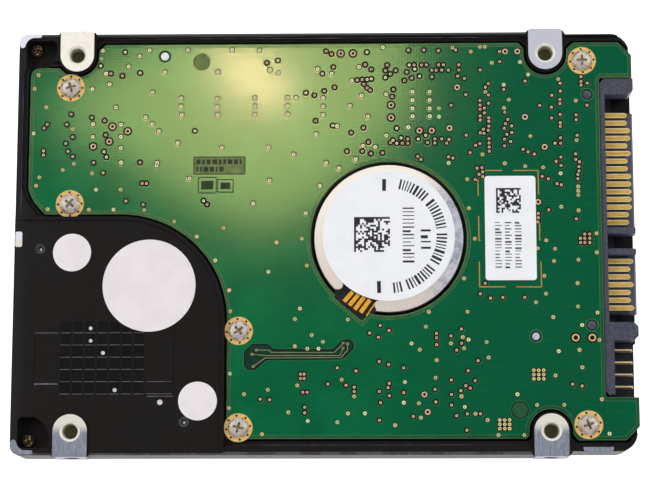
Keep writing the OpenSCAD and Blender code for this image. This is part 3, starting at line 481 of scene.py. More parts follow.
FINISHES.update({
    "cast": casting(),
    "pcb": board(),
    "label": paper("white label film", (243, 244, 247), (238, 240, 244)),
    "seal": paper("seal film, slightly warm", (238, 231, 232), (232, 225, 226)),
    "ring": motor_ring(),
    "board_screw": screw_metal("nickel screw", (212, 202, 187), (184, 171, 154),
                               dark=(116, 103, 88), recess=(9.2, 8.96)),
    "gold_screw": screw_metal("yellow passivated screw", (214, 176, 104), (176, 136, 70),
                              dark=(110, 80, 40), tip=7.0),
    "pad_gold": gold("gold screw land", (246, 204, 132), (228, 178, 102), rough=0.36, metal=0.08),
    "via_gold": gold("via land", (234, 220, 160), (206, 190, 128), rough=0.4, metal=0.05),
    "via_pale": gold("via land, pale under thin mask or in painted sheen", (255, 250, 200), (240, 234, 176),
                     rough=0.4, metal=0.02),
    "via_copper": gold("copper via land", (232, 202, 168), (206, 172, 136),
                       rough=0.4, metal=0.05),
    "plated": gold("plated through hole", (236, 204, 148), (220, 178, 116),
                   rough=0.36, metal=0.08),
    "bracket": gold("bare copper line", (214, 168, 82), (178, 132, 60), rough=0.42, metal=0.35),
    "housing": moulding(),
    "contact": gold("gold contact", (232, 192, 100), (200, 158, 74), rough=0.32, metal=0.12,
                    streak=(0.35, 5.0, 1.0), dark=(132, 98, 44)),
    "contact_rim": gold("painted highlight on gold edges", (255, 245, 206), (246, 228, 172),
                        rough=0.3, metal=0.06),
    "pin": gold("jumper pin", (222, 190, 128), (176, 140, 80), rough=0.3, metal=0.2,
                streak=(0.4, 7.0, 1.0)),
    "spring_gold": gold("motor contact", (255, 200, 74), (226, 146, 34), rough=0.26, metal=0.12,
                        streak=(5.0, 1.2, 1.0), dark=(120, 62, 10)),
    "copper": gold("enamelled copper", (196, 104, 52), (158, 76, 34), rough=0.28, metal=0.7,
                   streak=(1.0, 1.0, 9.0)),
    "cover": brushed("brushed cover sheet", (196, 198, 202), (172, 175, 180), rough=0.34),
    "can": brushed("crystal can", (205, 207, 212), (182, 184, 190), rough=0.28),
    "spring": brushed("stamped spring sheet", (204, 205, 210), (180, 181, 188), rough=0.3,
                      stretch=(6.0, 0.4, 1.0)),
    "arm": brushed("machined arm metal", (190, 193, 199), (168, 171, 178), rough=0.34,
                   stretch=(2.0, 0.5, 6.0)),
    "yoke": brushed("plated yoke", (186, 186, 192), (160, 160, 168), rough=0.32,
                    stretch=(0.5, 5.0, 1.0)),
    "bronze": turned("turned bronze", (190, 174, 118), (160, 142, 92), rough=0.3, metal=0.9),
    "hub": turned("turned hub", (212, 212, 216), (184, 184, 190), rough=0.24, metal=0.95),
    "disk": disk(),
})

# Finish of each CAD node
WORN_BY = {
    "cast": "base_casting", "cover": "top_cover", "gasket": "cover_gasket",
    "label": "cover_label pcb_label spindle_label", "gold_screw": "cover_screws",
    "seal": "seal_disc_large seal_discs_small", "pcb": "pcb",
    "board_screw": "pcb_screws pivot_screw", "insul": "insulator_sheet",
    "chip": "main_controller memory_chip motor_driver inductors preamp_chip",
    "ceramic": "capacitors head_sliders", "can": "crystal", "housing": "sata_housing",
    "contact": "power_contacts signal_contacts", "pin": "jumper_pins", "ring": "motor_base",
    "black_plastic": "motor_connector coil_frame head_connector",
    "spring_gold": "motor_contacts", "stator": "stator_core rotor_magnet",
    "copper": "stator_coils voice_coil", "bronze": "bearing_sleeve",
    "steel": "spindle_shaft clamp_screws pivot_shaft pivot_bearings pivot_sleeve yoke_posts "
             "latch_pin ramp_screw",
    "hub": "spindle_hub platter_spacer", "disk": "platter_lower platter_upper",
    "spring": "disk_clamp load_beams", "arm": "e_block", "yoke": "yoke_upper yoke_lower",
    "magnet": "magnet_upper magnet_lower", "rubber": "crash_stops",
    "cream_plastic": "latch_arm load_ramp", "flex": "flex_cable",
    "felt": "recirculation_filter breather_filter",
}
finish_of = {node: finish for finish, nodes in WORN_BY.items() for node in nodes.split()}
for node, obj in NODES.items():
    obj.data.materials.clear()
    obj.data.materials.append(FINISHES[finish_of[node]])

# Bevel widths that soften the CAD edges
BEVELS = {
    "base_casting": 0.09, "pcb": 0.05, "sata_housing": 0.08, "top_cover": 0.12,
    "pcb_screws": 0.05, "motor_base": 0.07, "jumper_pins": 0.07, "power_contacts": 0.03,
    "signal_contacts": 0.03, "motor_connector": 0.05, "motor_contacts": 0.03,
    "cover_screws": 0.05,
}
for node, width in BEVELS.items():
    weld = NODES[node].modifiers.new("weld", "WELD")
    weld.merge_threshold = 2e-6
    bevel = NODES[node].modifiers.new("soft edges", "BEVEL")
    bevel.width = width / 1000
    bevel.segments = 2
    bevel.limit_method = "ANGLE"
    bevel.angle_limit = math.radians(32)
    bevel.use_clamp_overlap = True
    bevel.harden_normals = True


# ------------------------------------------------------------------ mesh pieces

def circle(x, y, radius, sides):
    turns = [2 * math.pi * i / sides for i in range(sides)]
    return [(x + radius * math.cos(a), y + radius * math.sin(a)) for a in turns]


def circles(x, y, profile, sides):
    """Level circles about a vertical line. profile: radius and height of each."""
    return [at_height(circle(x, y, radius, sides), z) for radius, z in profile]


def at_height(outline, z):
    return [(x, y, z) for x, y in outline]


def corners(x0, x1, y0, y1):
    return [(x0, y0), (x1, y0), (x1, y1), (x0, y1)]


def rectangle_sides(*rectangle):
    points = corners(*rectangle)
    return zip(points, points[1:] + points[:1])


def inset(outline, distance):
    """Moves a counter-clockwise loop inward, with its corners mitred"""
    result = []
    for i, b in enumerate(outline):
        a, c = outline[i - 1], outline[(i + 1) % len(outline)]
        edge1 = (b[0] - a[0], b[1] - a[1])
        edge2 = (c[0] - b[0], c[1] - b[1])
        length1 = math.hypot(*edge1) or 1e-9
        length2 = math.hypot(*edge2) or 1e-9
        normal1 = (-edge1[1] / length1, edge1[0] / length1)
        normal2 = (-edge2[1] / length2, edge2[0] / length2)
        mx, my = normal1[0] + normal2[0], normal1[1] + normal2[1]
        mitre = math.hypot(mx, my) or 1e-9
        mx, my = mx / mitre, my / mitre
        # sharp corners are held back
        shift = distance / max(0.45, mx * normal1[0] + my * normal1[1])
        result.append((b[0] + mx * shift, b[1] + my * shift))
    return result


class Build:
    """Collects polygons and makes them one named mesh that rides on the root body"""

    def __init__(self, name, finishes, slot):
        self.name = name
        self.finishes = finishes.split()
        self.slot = slot
        self.points, self.faces, self.slots = [], [], []

    def polygon(self, indexes, finish):
        self.faces.append(indexes)
        self.slots.append(self.finishes.index(finish) if finish else 0)

    def face(self, points, finish=None):
        first = len(self.points)
        self.points += points
        self.polygon(tuple(range(first, first + len(points))), finish)

    def grid(self, rows, finish=None, closed=True):
        """Joins rows of equal length, each to the next; closed rows are loops"""
        low, count = len(self.points), len(rows[0])
        for row in rows:
            self.points += row
        for _ in rows[1:]:
            high = low + count
            for i in range(count if closed else count - 1):
                j = (i + 1) % count
                self.polygon((low + i, low + j, high + j, high + i), finish)
            low = high

    def capped(self, rows, finish=None):
        self.grid(rows, finish)
        self.face(rows[-1], finish)

    def prism(self, outline, bottom, top, bevel=0.0, finish=None):
        """Upright plate from a counter-clockwise outline, open below, its upper edge bevelled"""
        rows = [at_height(outline, bottom), at_height(outline, top - bevel)]
        if bevel:
            rows.append(at_height(inset(outline, bevel), top))
        self.capped(rows, finish)

    def box(self, x0, x1, y0, y1, bottom, top, bevel=0.0, finish=None):
        self.prism(corners(x0, x1, y0, y1), bottom, top, bevel, finish)

    def disc(self, x, y, radius, bottom, top, bevel=0.0, sides=20, finish=None):
        self.prism(circle(x, y, radius, sides), bottom, top, bevel, finish)

    def ring(self, x, y, inner, outer, bottom, top, bevel, sides, finish=None):
        profile = ((outer, bottom), (outer, top - bevel), (outer - bevel, top),
                   (inner + bevel, top), (inner, top - bevel), (inner, bottom))
        self.grid(circles(x, y, profile, sides), finish)

    def bar(self, start, end, width, bottom, top, bevel=0.0, finish=None):
        dx, dy = end[0] - start[0], end[1] - start[1]
        length = math.hypot(dx, dy)
        nx, ny = -dy / length * width / 2, dx / length * width / 2
        self.prism([(start[0] - nx, start[1] - ny), (end[0] - nx, end[1] - ny),
                    (end[0] + nx, end[1] + ny), (start[0] + nx, start[1] + ny)],
                   bottom, top, bevel, finish)

    def make(self, smooth=False):
        mesh = bpy.data.meshes.new(self.name)
        points = [(x / 1000, y / 1000, z / 1000) for x, y, z in self.points]
        mesh.from_pydata(points, [], self.faces)
        for finish in self.finishes:
            mesh.materials.append(FINISHES[finish])
        for polygon, slot in zip(mesh.polygons, self.slots):
            polygon.material_index = slot
            polygon.use_smooth = smooth
        mesh.update()
        obj = bpy.data.objects.new(self.name, mesh)
        bpy.context.scene.collection.objects.link(obj)
        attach(obj, "root")
        self.slot


# ------------------------------------------------------------------ circuit board details

# Centres of the via lands. Each row is a Y, then after the colon the X of each land on it.
# Light lands have a thin bright rim.
LIGHT_LANDS = """
32.1: 9.6 25.5 26.3 | 32: 21 | 31.8: -36.4 -28.7 -22.4 -15.1 | 31.7: -10.6 | 31.3: 24 |
30.8: -30.3 | 30.4: -36.6 | 29.5: 32 | 29.4: 27.4 | 29.1: -32.1 | 28.8: 5.7 | 28.5: -1.1 |
28.4: -8.9 | 28.1: -26.1 -17.4 | 27.9: -35.8 -7.5 | 27.7: -46.9 1.2 | 27.4: 33.3 | 26.6: 38.2 |
26.5: 4.5 | 26.1: -35.2 | 25.7: 29.3 | 25.4: -47.5 | 25.3: -38 | 24.7: -28.1 | 24.6: 14.4 17.2 |
24.5: 26.3 | 24.2: 10.1 | 24: 6.1 | 23.7: -23.4 -11.3 -6 -4.6 | 23.6: -17.5 -0.2 |
23.2: 14.4 17.2 30.1 | 23: 41 | 22.3: -45.5 -23.4 -11.3 -6 4.2 | 22.2: -34.1 -17.5 -0.2 |
21.8: 14.4 17.2 18.7 29.3 | 20.9: -23.3 -17.4 -11.3 -6 | 20.8: -0.2 | 20.5: -29.2 7.1 14.4 17.2 |
20.4: 18.7 | 19.4: -37.8 -28.1 | 19.3: -33.2 | 18.9: 2.1 | 18.7: 13.7 | 18.6: -41.1 | 18.2: -27 |
17.9: -47.5 | 17.6: -1.3 | 17.3: -37.8 -33.2 10.1 | 17.1: 33.5 | 16.4: 41 | 16.2: -23.9 |
15.6: 6.3 | 15.4: -33.2 -16.7 -9.1 8.3 | 14.2: -5 | 14.1: 25.7 | 13.4: 5.1 | 13: -33.1 |
12.9: -27.2 | 12.8: -40.8 0.3 | 12.7: 20.2 | 12.6: 29.3 | 12.5: -27.3 | 12.1: 32.6 |
11.9: 2.4 35.5 | 11.8: -42.6 | 11.2: -37.8 | 10.9: 38.3 | 10.6: -46.4 | 10.3: -21.9 | 10: 23.2 |
9.9: -8.9 | 9.2: -46.9 | 9: -0.7 | 8.7: 41.1 | 8.5: -37.1 -33.1 | 8: 41.1 | 7.3: 41.1 |
6.1: -11.5 | 5.4: 38.3 | 5.3: -44.9 | 5.2: -38.2 -34.2 23.4 | 5.1: -29.2 | 4.8: 41.1 | 4.5: -3 |
3.2: -24.3 | 2.1: -16.3 | 1: 43.9 | 0.7: -20.6 | 0.3: -3.6 | 0.2: 24.3 | -0.1: 35.8 |
-0.3: -7.7 | -1.4: 34.4 | -1.5: 37.2 | -2.1: 43.9 | -3.2: -17.6 | -3.3: 40.9 | -3.5: 37 |
-4.1: -2.8 | -5.1: -9 | -5.9: 35.4 | -6.3: 22.5 | -7.1: 40.7 | -8.1: -15.3 | -8.8: 35.6 |
-10.2: 34 | -10.9: 40.7 | -11.1: -3.9 | -11.5: -15.1 | -11.7: 16.8 23 | -11.9: 43.8 |
-12.6: 36.7 | -12.8: -4.7 | -12.9: 3.8 | -13.9: 41.3 | -14.1: 16.3 | -15.4: -2 | -15.8: 22.2 |
-16.2: 23.1 | -16.3: 44 | -16.5: -0.2 | -16.6: 26 | -16.8: 14 20.3 | -17.2: -4.7 |
-17.6: -2.7 -0.9 22.4 | -17.8: 15.3 | -17.9: 40.8 | -18.1: 37.5 | -19.1: 26.3 | -19.5: 18 |
-20.7: 41.2 | -21.6: -15.1 | -22: 36.9 | -22.3: 17.8 | -22.6: 2.8 | -23: 12.9 | -23.5: -4.3 |
-24.2: -9 | -24.9: -12.8 | -25: 30.8 | -25.3: 4.8 21.9 | -25.8: 44.2 | -26.3: 12.7 |
-26.4: 15.1 | -26.7: 33.9 38.2 | -27: 22.4 | -27.1: -15.2 | -27.8: -5.7 | -28: 3.8 6.5 |
-28.1: 24.1 | -28.7: 15.4 | -29.1: 26 | -29.2: -2.6 | -29.4: 2.1 | -29.9: 11.3 |
-31.3: -9.9 45.3 | -31.5: 27.7 31.8"""
# Ringed lands are copper in a cleared dark ring
RINGED_LANDS = """
31.6: 13.8 16.3 21.5 | 31.5: -32.7 0.3 18.7 | 31.3: 7 28.7 | 31: 1.2 | 30: -7.6 |
29.6: -9.4 28.7 | 29.2: -36.7 6.7 | 29.1: 10.3 13.9 14.7 15.9 16.7 18.7 19.5 22 | 28.8: 1.5 |
28.4: 7.7 14.8 | 28.2: 10 11.7 17.6 18.3 19.2 20.3 22 25.5 | 28: -30.2 | 27.9: -35 13.5 |
27.7: -0.3 | 27.6: 10.8 | 27.5: -33.1 | 27.2: 15.6 21.8 | 27.1: 17.6 | 27: 10 41.9 | 26.9: 14.3 |
26.8: 7.7 22.9 | 26.7: 6.2 7 | 26.6: 5.4 | 26.5: 13.1 | 26.3: 32.8 | 26.2: 41.9 |
25.9: 6.5 26.8 38.5 42.9 | 25.6: 41.9 | 25.4: 1.7 | 25.3: 7 26.3 | 25: 11.3 | 24.9: 7.5 29.3 |
24.8: 0 | 24.6: 38.5 | 24.5: -3 | 24.1: -1.6 23.1 | 24: 26.8 | 23.9: 37.1 | 23.8: 11.1 |
23.2: 38.4 | 23.1: 25.4 | 22.6: 26.8 | 22.5: 38.4 | 22.3: 20.7 25.4 | 22.2: 35.1 42.8 | 21.9: 37 |
21.8: 26.1 | 21.6: 25.4 | 21.1: -41.4 29.4 | 21: 26.1 | 20.7: 38.4 | 20.6: 41 | 20.5: -38 25.4 |
20.2: 26.8 | 20.1: 37 | 20: -35.9 | 19.9: 29.9 | 19.8: -1.4 25.4 41 | 19.6: 26.8 |
19.4: -45.3 -42.1 | 19.3: 38.4 | 19.2: 29.5 | 19: 1.4 | 18.8: -45.8 26.8 30.5 | 18.7: 38.4 |
18.6: 6.4 | 18.5: 11.8 | 18.4: 29.3 | 18.3: 25.9 | 18.2: -21.1 | 18.1: 26.7 | 17.8: 4.4 |
17.7: 25.4 30.5 | 17.6: -35.7 26 | 17.4: 29.7 | 17.3: -41.1 16.5 23.1 | 17.2: 41.1 | 16.9: 12.5 |
16.8: 38.4 | 16.7: 13.6 15.3 18 19.1 26.8 | 16.6: 20.3 29.3 | 16.5: 11.2 | 16.2: -42.2 7.2 30.3 |
16.1: 10.8 16.8 | 16: 11.8 12.7 13.6 18 19.9 26.8 | 15.9: 25.3 37.5 38.4 | 15.6: 24.6 |
15.5: 29.3 | 15.3: 26.8 | 15: -45.8 | 14.9: -41.8 32.3 | 14.8: -35.9 | 14.7: 3.7 6.2 |
14.6: 26.8 | 14.5: 33.1 | 14.4: 9.5 23.7 | 14.3: -45.8 7.6 | 14.1: 34.1 40.8 | 14: -41 |
13.9: -35.5 | 13.8: 15.2 | 13.7: 20.2 | 13.6: 38.4 | 13.5: 20.9 | 13.3: 15.7 | 13.2: 40.8 |
13: -37.6 -30 | 12.9: 37.6 | 12.8: 41.4 | 12.2: 38.4 | 12: 41.3 | 11.9: 25.6 | 11.8: 24.8 |
11.3: -36 41.3 | 11.2: 25.7 | 10.8: 25.1 | 10.7: 41.1 | 10.4: 25.7 35.3 | 10: 36.3 41.1 |
9.9: 24.5 | 9.5: -29.6 -28.9 | 9.2: 37.7 | 9: 38.4 | 6.6: -32.2 -19.6 | 6: -29.4 -19 | 4.9: 36.3 |
4.3: 34.6 | 3.6: 34.6 | 3.4: 40.7 | 2.9: 34.5 | 0.9: 42 42.8 | 0.2: 41.3 42 42.8 |
-0.5: 41.3 42 42.8 | -6.3: 34 | -7.1: 25.9 | -8.8: 25.1 | -9.4: 28.7 32.2 | -9.5: 26.7 |
-13.9: 9 | -14.5: 22 | -14.7: 10.4 | -15.1: 7.3 | -15.2: 18 | -15.6: 20.3 | -15.8: 8.7 |
-15.9: 18 | -16.8: 22 | -17: 18 | -17.9: 21.2 | -19.6: 24.6 | -19.7: 8.8 | -20.2: 10.3 |
-20.7: 2.1 12.7 | -21.2: 5.1 23 | -21.7: -3.8 -3.2 | -22.4: -3.8 -3.2 | -22.7: 20.3 |
-22.8: 24.1 | -23.2: 10.4 | -23.3: 0.6 | -23.4: 39.6 | -23.5: 3.5 | -23.6: 22.6 | -23.7: 41.1 |
-23.8: 4.8 | -23.9: 10.2 | -24: 23.3 | -24.2: 17.7 | -24.4: 21.8 | -24.5: 4.8 8.8 |
-24.6: -3.4 -2.7 | -24.7: 12.7 | -25: 20.3 | -25.2: 10.4 | -25.7: -10.2 | -25.8: -8.7 |
-26.2: 17.8 | -26.3: 9 | -26.7: 20.3 | -27: -3.1 | -27.9: -3.1 | -28.1: 22.8 24.9 | -28.4: 21.1 |
-28.5: 14.2 | -29.1: 8.8 | -30.7: 22.7"""
# Wide lands are plated holes with a gold ring
WIDE_LANDS = """
31.3: 29.6 31.6 | 31.1: 2.7 4.7 | 25.3: 21.7 | 22.4: 10.9 | 20.3: 10.9 32.7 | 19: -34.6 |
18.5: 20.4 | 18.2: -32.1 | 18.1: 15.5 17.5 | 16.5: -35.1 | 15.7: -37.7 | 15.3: 35.8 | 6.2: 34.6 |
-25: 16 | -27.8: 16.5"""


def places(table):
    """Centres in a table of lands, without those the board label covers"""
    for row in table.split("|"):
        y, xs = row.split(":")
        y = float(y)
        for x in map(float, xs.split()):
            if not (25.9 < x < 34.25 and -6.7 < y < 10.6):
                yield x, y


def shine(x, y):
    """Place in the soft reflection on the board, which picks the painted sheen and shade round the
    vias: 2 in its core, 1 at its fringe, 0 outside
    """
    reach = math.hypot((x + 11) / 20, (y - 21) / 13)
    return 2 if reach < 1 else 1 if reach < 1.45 else 0


def light_land(vias, i, x, y):
    radius = 0.27 + 0.03 * rng.random()
    lit = shine(x, y)
    lift = 0.0003 * (i % 5)
    if lit:
        # painted sheen on the mask at one side of the land, painted shade at the other
        radius += 0.03
        vias.disc(x - 0.05, y - 0.07, radius + 0.22, SUNK, BOARD_Z + 0.003 + lift, bevel=0.001,
                  sides=16, finish="halo_bright" if lit == 2 else "halo_mid")
        vias.disc(x + 0.01, y + 0.04, radius + 0.18, SUNK, BOARD_Z + 0.007 + lift, bevel=0.002,
                  sides=16, finish="shade")
    else:
        vias.ring(x, y, radius - 0.03, radius + 0.10, SUNK, BOARD_Z + 0.006, bevel=0.003,
                  sides=14, finish="via_rim")
    # in the sheen every land takes the pale colour as painted sheen; elsewhere every fourth land is
    # pale
    vias.ring(x, y, 0.12, radius, SUNK, BOARD_Z + 0.022, bevel=0.010, sides=14,
              finish="via_pale" if lit or i % 4 == 0 else "via_gold")
    vias.disc(x, y, 0.13, DEEP, BOARD_Z + 0.014, sides=10, finish="hole")


def ringed_land(vias, i, x, y):
    lit = shine(x, y)
    lift = 0.0003 * (i % 5)
    # painted highlight: a crescent at the lower right of the dark ring, in painted sheen where the
    # board is lit
    vias.disc(x + 0.05, y - 0.06, 0.60 if lit else 0.56, SUNK, BOARD_Z + 0.003 + lift,
              bevel=0.001, sides=16, finish=("halo", "halo_mid", "halo_bright")[lit])
    vias.disc(x, y, 0.545 if lit else 0.50, SUNK, BOARD_Z + 0.009 + lift, bevel=0.003,
              sides=16, finish="moat")
    # in the sheen every third land takes the pale colour as painted sheen
    if lit:
        finish = "via_copper" if i % 3 else "via_pale"
    else:
        finish = "via_copper" if i % 5 else "via_gold"
    vias.ring(x, y, 0.09, 0.235, SUNK, BOARD_Z + 0.024, bevel=0.010, sides=14, finish=finish)
    vias.disc(x, y, 0.10, DEEP, BOARD_Z + 0.018, sides=8, finish="hole")


def via_field(vias, cx, cy):
    """Three by three vias in a square dark field"""
    vias.box(cx - 1.16, cx + 1.16, cy - 1.04, cy + 1.04, SUNK, BOARD_Z + 0.008, bevel=0.004,
             finish="moat")
    for i in (-1, 0, 1):
        for j in (-1, 0, 1):
            x, y = cx + 0.78 * i, cy + 0.69 * j
            vias.ring(x, y, 0.10, 0.285, SUNK, BOARD_Z + 0.022, bevel=0.010, sides=14)
            vias.disc(x, y, 0.11, DEEP, BOARD_Z + 0.012, sides=8, finish="hole")


def via_lands():
    vias = Build("via_lands", "via_gold hole moat via_copper via_pale halo shade halo_bright "
                 "halo_mid via_rim", slot="gold_contact")
    for i, (x, y) in enumerate(places(LIGHT_LANDS)):
        light_land(vias, i, x, y)
    for i, (x, y) in enumerate(places(RINGED_LANDS)):
        ringed_land(vias, i, x, y)
    for center in ((34.24, -21.84), (28.71, -29.77)):
        via_field(vias, *center)
    for x, y in places(WIDE_LANDS):
        vias.disc(x, y, 0.74 if shine(x, y) else 0.63, SUNK, BOARD_Z + 0.009, bevel=0.003,
                  finish="moat")
        vias.ring(x, y, 0.25, 0.47, SUNK, BOARD_Z + 0.026, bevel=0.010, sides=18,
                  finish="via_copper")
        vias.disc(x, y, 0.27, DEEP, BOARD_Z + 0.016, sides=12, finish="hole")
    vias.make()


SCREWS = ((-41.53, 25.52), (-41.33, 6.16), (42.09, 29.69), (-13.73, -14.69), (-13.7, -30.25),
          (42.03, -29.87))


def screw_lands():
    """Gold ring round each board screw, with eight holes in it"""
    lands = Build("screw_lands", "pad_gold hole peg_line", slot="gold_contact")
    for i, (x, y) in enumerate(SCREWS):
        lands.ring(x, y, 0.97, 2.26, SUNK, BOARD_Z + 0.02, bevel=0.008, sides=48)
        lands.ring(x, y, 2.28, 2.36, SUNK, BOARD_Z + 0.007, bevel=0.003, sides=48,
                   finish="peg_line")
        for k in range(8):
            a = math.radians(45 * k + 2 * i)
            lands.disc(x + 1.93 * math.cos(a), y + 1.93 * math.sin(a), 0.185, BOARD_Z,
                       BOARD_Z + 0.024, bevel=0.003, sides=14, finish="hole")
    lands.make()


def top_loops(node, height):
    """Outlines of the flat top of a CAD node, each with the face on its left"""
    mesh = NODES[node].data

    def key(i):
        return tuple(round(c * 1e6) for c in mesh.vertices[i].co)

    # a dict, so that the edges keep their order
    edges = {}
    for polygon in mesh.polygons:
        if polygon.normal.z > 0.9 and abs(polygon.center.z * 1000 - height) < 0.02:
            keys = [key(i) for i in polygon.vertices]
            for a, b in zip(keys, keys[1:] + keys[:1]):
                if a != b:
                    edges[(a, b)] = True
    following = {}
    for a, b in edges:
        if (b, a) not in edges:
            following.setdefault(a, []).append(b)
    loops = []
    while following:
        start = at = next(iter(following))
        loop = []
        while at in following:
            loop.append(at)
            onward = following[at].pop()
            if not following[at]:
                del following[at]
            at = onward
            if at == start:
                break
        points = [(x / 1000, y / 1000) for x, y, z in loop]
        clean = [p for i, p in enumerate(points) if math.dist(p, points[i - 1]) > 0.004]
        if len(clean) > 3:
            loops.append(clean)
    return loops


# Section of the border from the board's edge inward: inset and height over the board
BORDER = ((0.02, 0.004), (0.11, 0.010), (0.14, 0.005), (0.52, 0.005), (0.545, 0.009),
          (0.60, 0.009), (0.62, 0.003))


def board_border():
    """A pale line, a band of mask over bare laminate, and a second thin line"""
    border = Build("board_border", "mask_pale mask_dark", slot="circuit_board")
    for loop in top_loops("pcb", BOARD_Z):
        if sum(math.dist(p, loop[i - 1]) for i, p in enumerate(loop)) < 40:
            continue
        rows = [at_height(inset(loop, distance), BOARD_Z + height) for distance, height in BORDER]
        for i in range(len(rows) - 1):
            border.grid(rows[i:i + 2], "mask_dark" if i == 2 else "mask_pale")
    border.make()


# Broken copper frame round the board label: both ends of each piece
LABEL_FRAME = (
    ((26.1, 11.43), (28.86, 11.42)), ((30.62, 11.42), (34.66, 11.40)),
    ((34.66, 11.43), (34.70, 7.39)), ((34.75, 2.66), (34.78, -0.11)),
    ((34.88, -3.57), (34.93, -7.72)), ((34.95, -7.70), (30.88, -7.68)),
    ((29.08, -7.68), (24.97, -7.66)), ((25.0, -7.70), (24.98, -3.57)),
    ((24.98, -0.11), (24.95, 3.93)), ((24.93, 7.27), (24.9, 9.93)),
    ((24.98, -0.08), (25.2, -0.08)),
)
ISLAND = [
    (-11.49, -16.91), (-12.77, -18.11), (-12.75, -20.21), (-12.27, -20.85), (-11.07, -20.94),
    (-9.27, -19.33), (2.54, -19.28), (3.34, -18.96), (4.62, -17.63), (4.62, -16.70),
    (3.94, -16.14), (2.94, -16.30), (1.34, -17.82), (-8.20, -17.72), (-9.08, -16.91),
]
TRACKS = (
    ((-11.56, -18.48), (-9.48, -18.68), (2.54, -18.71), (3.02, -17.51)),
    ((-10.88, -17.79), (-8.76, -17.84), (-8.48, -18.20), (1.66, -18.23), (3.06, -16.70)),
    ((-11.39, -20.45), (-9.47, -19.09), (2.74, -19.04), (3.74, -17.83), (3.74, -16.82)),
)


def legend(marks):
    """Framed panels with plain blocks in place of characters"""
    panel = (-21.2, -12.9, 11.0, 13.85)
    # the panel's pale fill also carries painted sheen
    marks.box(*panel, SHALLOW, BOARD_Z + 0.006, finish="silk_fill")
    for rectangle in (panel, (-20.45, -17.55, 7.9, 10.45), (-17.3, -14.8, 8.0, 10.1)):
        for start, end in rectangle_sides(*rectangle):
            marks.bar(start, end, 0.16, SHALLOW, BOARD_Z + 0.012, bevel=0.003, finish="silk")
    blocks = []
    for row, (y0, y1) in enumerate(((12.65, 13.45), (11.4, 12.2))):
        x = -20.8
        while x < -13.6 - 2.6 * row:
            width = 0.25 + 0.55 * rng.random()
            blocks.append((x, x + width, y0, y1))
            x += width + 0.26
    blocks += [(-20.0, -18.0, 8.45, 9.9), (-16.85, -15.25, 8.5, 9.6)]
    for block in blocks:
        marks.box(*block, BOARD_Z, BOARD_Z + 0.011, bevel=0.002, finish="silk")


def track_island(marks):
    """Island of cleared copper with three bare tracks and their pads"""
    # inset, height over the board
    for distance, height, finish in ((-0.20, 0.007, "mask_pale"), (-0.10, 0.010, "moat"),
                                     (0.12, 0.013, "island")):
        marks.prism(inset(ISLAND, distance), SHALLOW, BOARD_Z + height, bevel=0.002,
                    finish=finish)
    for track in TRACKS:
        for start, end in zip(track, track[1:]):
            marks.bar(start, end, 0.11, SHALLOW, BOARD_Z + 0.018, bevel=0.003, finish="trace")
        for pad in (track[0], track[-1]):
            marks.ring(*pad, 0.10, 0.24, SHALLOW, BOARD_Z + 0.021, bevel=0.004, sides=14,
                       finish="trace")


def board_marks():
    marks = Build("board_marks", "silk silk_fill bracket trace blob blob_dark moat mask_pale "
                  "island", slot="circuit_board")
    legend(marks)
    for start, end in LABEL_FRAME:
        marks.bar(start, end, 0.17, SHALLOW, BOARD_Z + 0.014, bevel=0.004, finish="bracket")
    track_island(marks)
    # round islands; the pale one at -X carries painted sheen in its colour
    for x, y, finish in ((-20.07, 29.79, "blob"), (31.17, -27.5, "blob_dark")):
        marks.disc(x, y, 1.22, SHALLOW, BOARD_Z + 0.012, bevel=0.006, sides=40, finish=finish)
        marks.ring(x, y, 1.26, 1.42, SHALLOW, BOARD_Z + 0.008, bevel=0.003, sides=40,
                   finish="moat")
    marks.ring(x, y, 1.45, 1.55, SHALLOW, BOARD_Z + 0.006, bevel=0.002, sides=40,
               finish="mask_pale")
    marks.make()


def pegs_and_rings():
    pegs = Build("pegs_and_rings", "peg peg_ring peg_line white_pin via_gold hole pale_peg moat "
                 "plated", slot="connector_plastic")
    glue = (BOARD_Z - 0.45, BOARD_Z - 0.08)
    # domed pegs, each in a ring of adhesive that fills its hole
    dome = ((1.0, -0.35), (1.0, -0.05), (0.9, 0.06), (0.66, 0.13), (0.35, 0.17))
    for x, y, radius, z, finish in ((42.85, 24.03, 0.66, 8.64, "peg"),
                                    (42.87, -13.9, 0.66, 8.64, "peg"),
                                    (33.9, -15.68, 0.60, 8.66, "pale_peg")):
        pegs.ring(x, y, radius + 0.02, 0.945, *glue, bevel=0.03, sides=40, finish="peg_ring")
        pegs.ring(x, y, 0.96, 1.05, SUNK, BOARD_Z + 0.010, bevel=0.004, sides=40,
                  finish="peg_line")
        profile = [(radius * share, z + height) for share, height in dome]
        pegs.capped(circles(x, y, profile, 28), finish)
    x, y = -26.16, 30.75
    profile = ((0.68, 7.0), (0.68, SUNK), (0.6, BOARD_Z + 0.07), (0.4, BOARD_Z + 0.1))
    pegs.capped(circles(x, y, profile, 28), "white_pin")
    pegs.ring(x, y, 0.70, 0.945, *glue, bevel=0.03, sides=40, finish="peg_ring")
    pegs.ring(x, y, 0.97, 1.08, SUNK, BOARD_Z + 0.010, bevel=0.004, sides=32, finish="peg_line")
    # plated holes
    for x, y in ((40.24, -15.92), (42.88, -15.93)):
        pegs.ring(x, y, 0.56, 0.86, SUNK, BOARD_Z + 0.010, bevel=0.004, sides=32, finish="moat")
        pegs.ring(x, y, 0.38, 0.60, SUNK, BOARD_Z + 0.026, bevel=0.010, sides=32,
                  finish="plated")
        pegs.disc(x, y, 0.40, BOARD_Z - 0.05, BOARD_Z + 0.012, sides=24, finish="hole")
    pegs.make()


via_lands()
screw_lands()
board_border()
board_marks()
pegs_and_rings()


# ------------------------------------------------------------------ printed labels, all generic

INK = 0.005   # thickness of the print


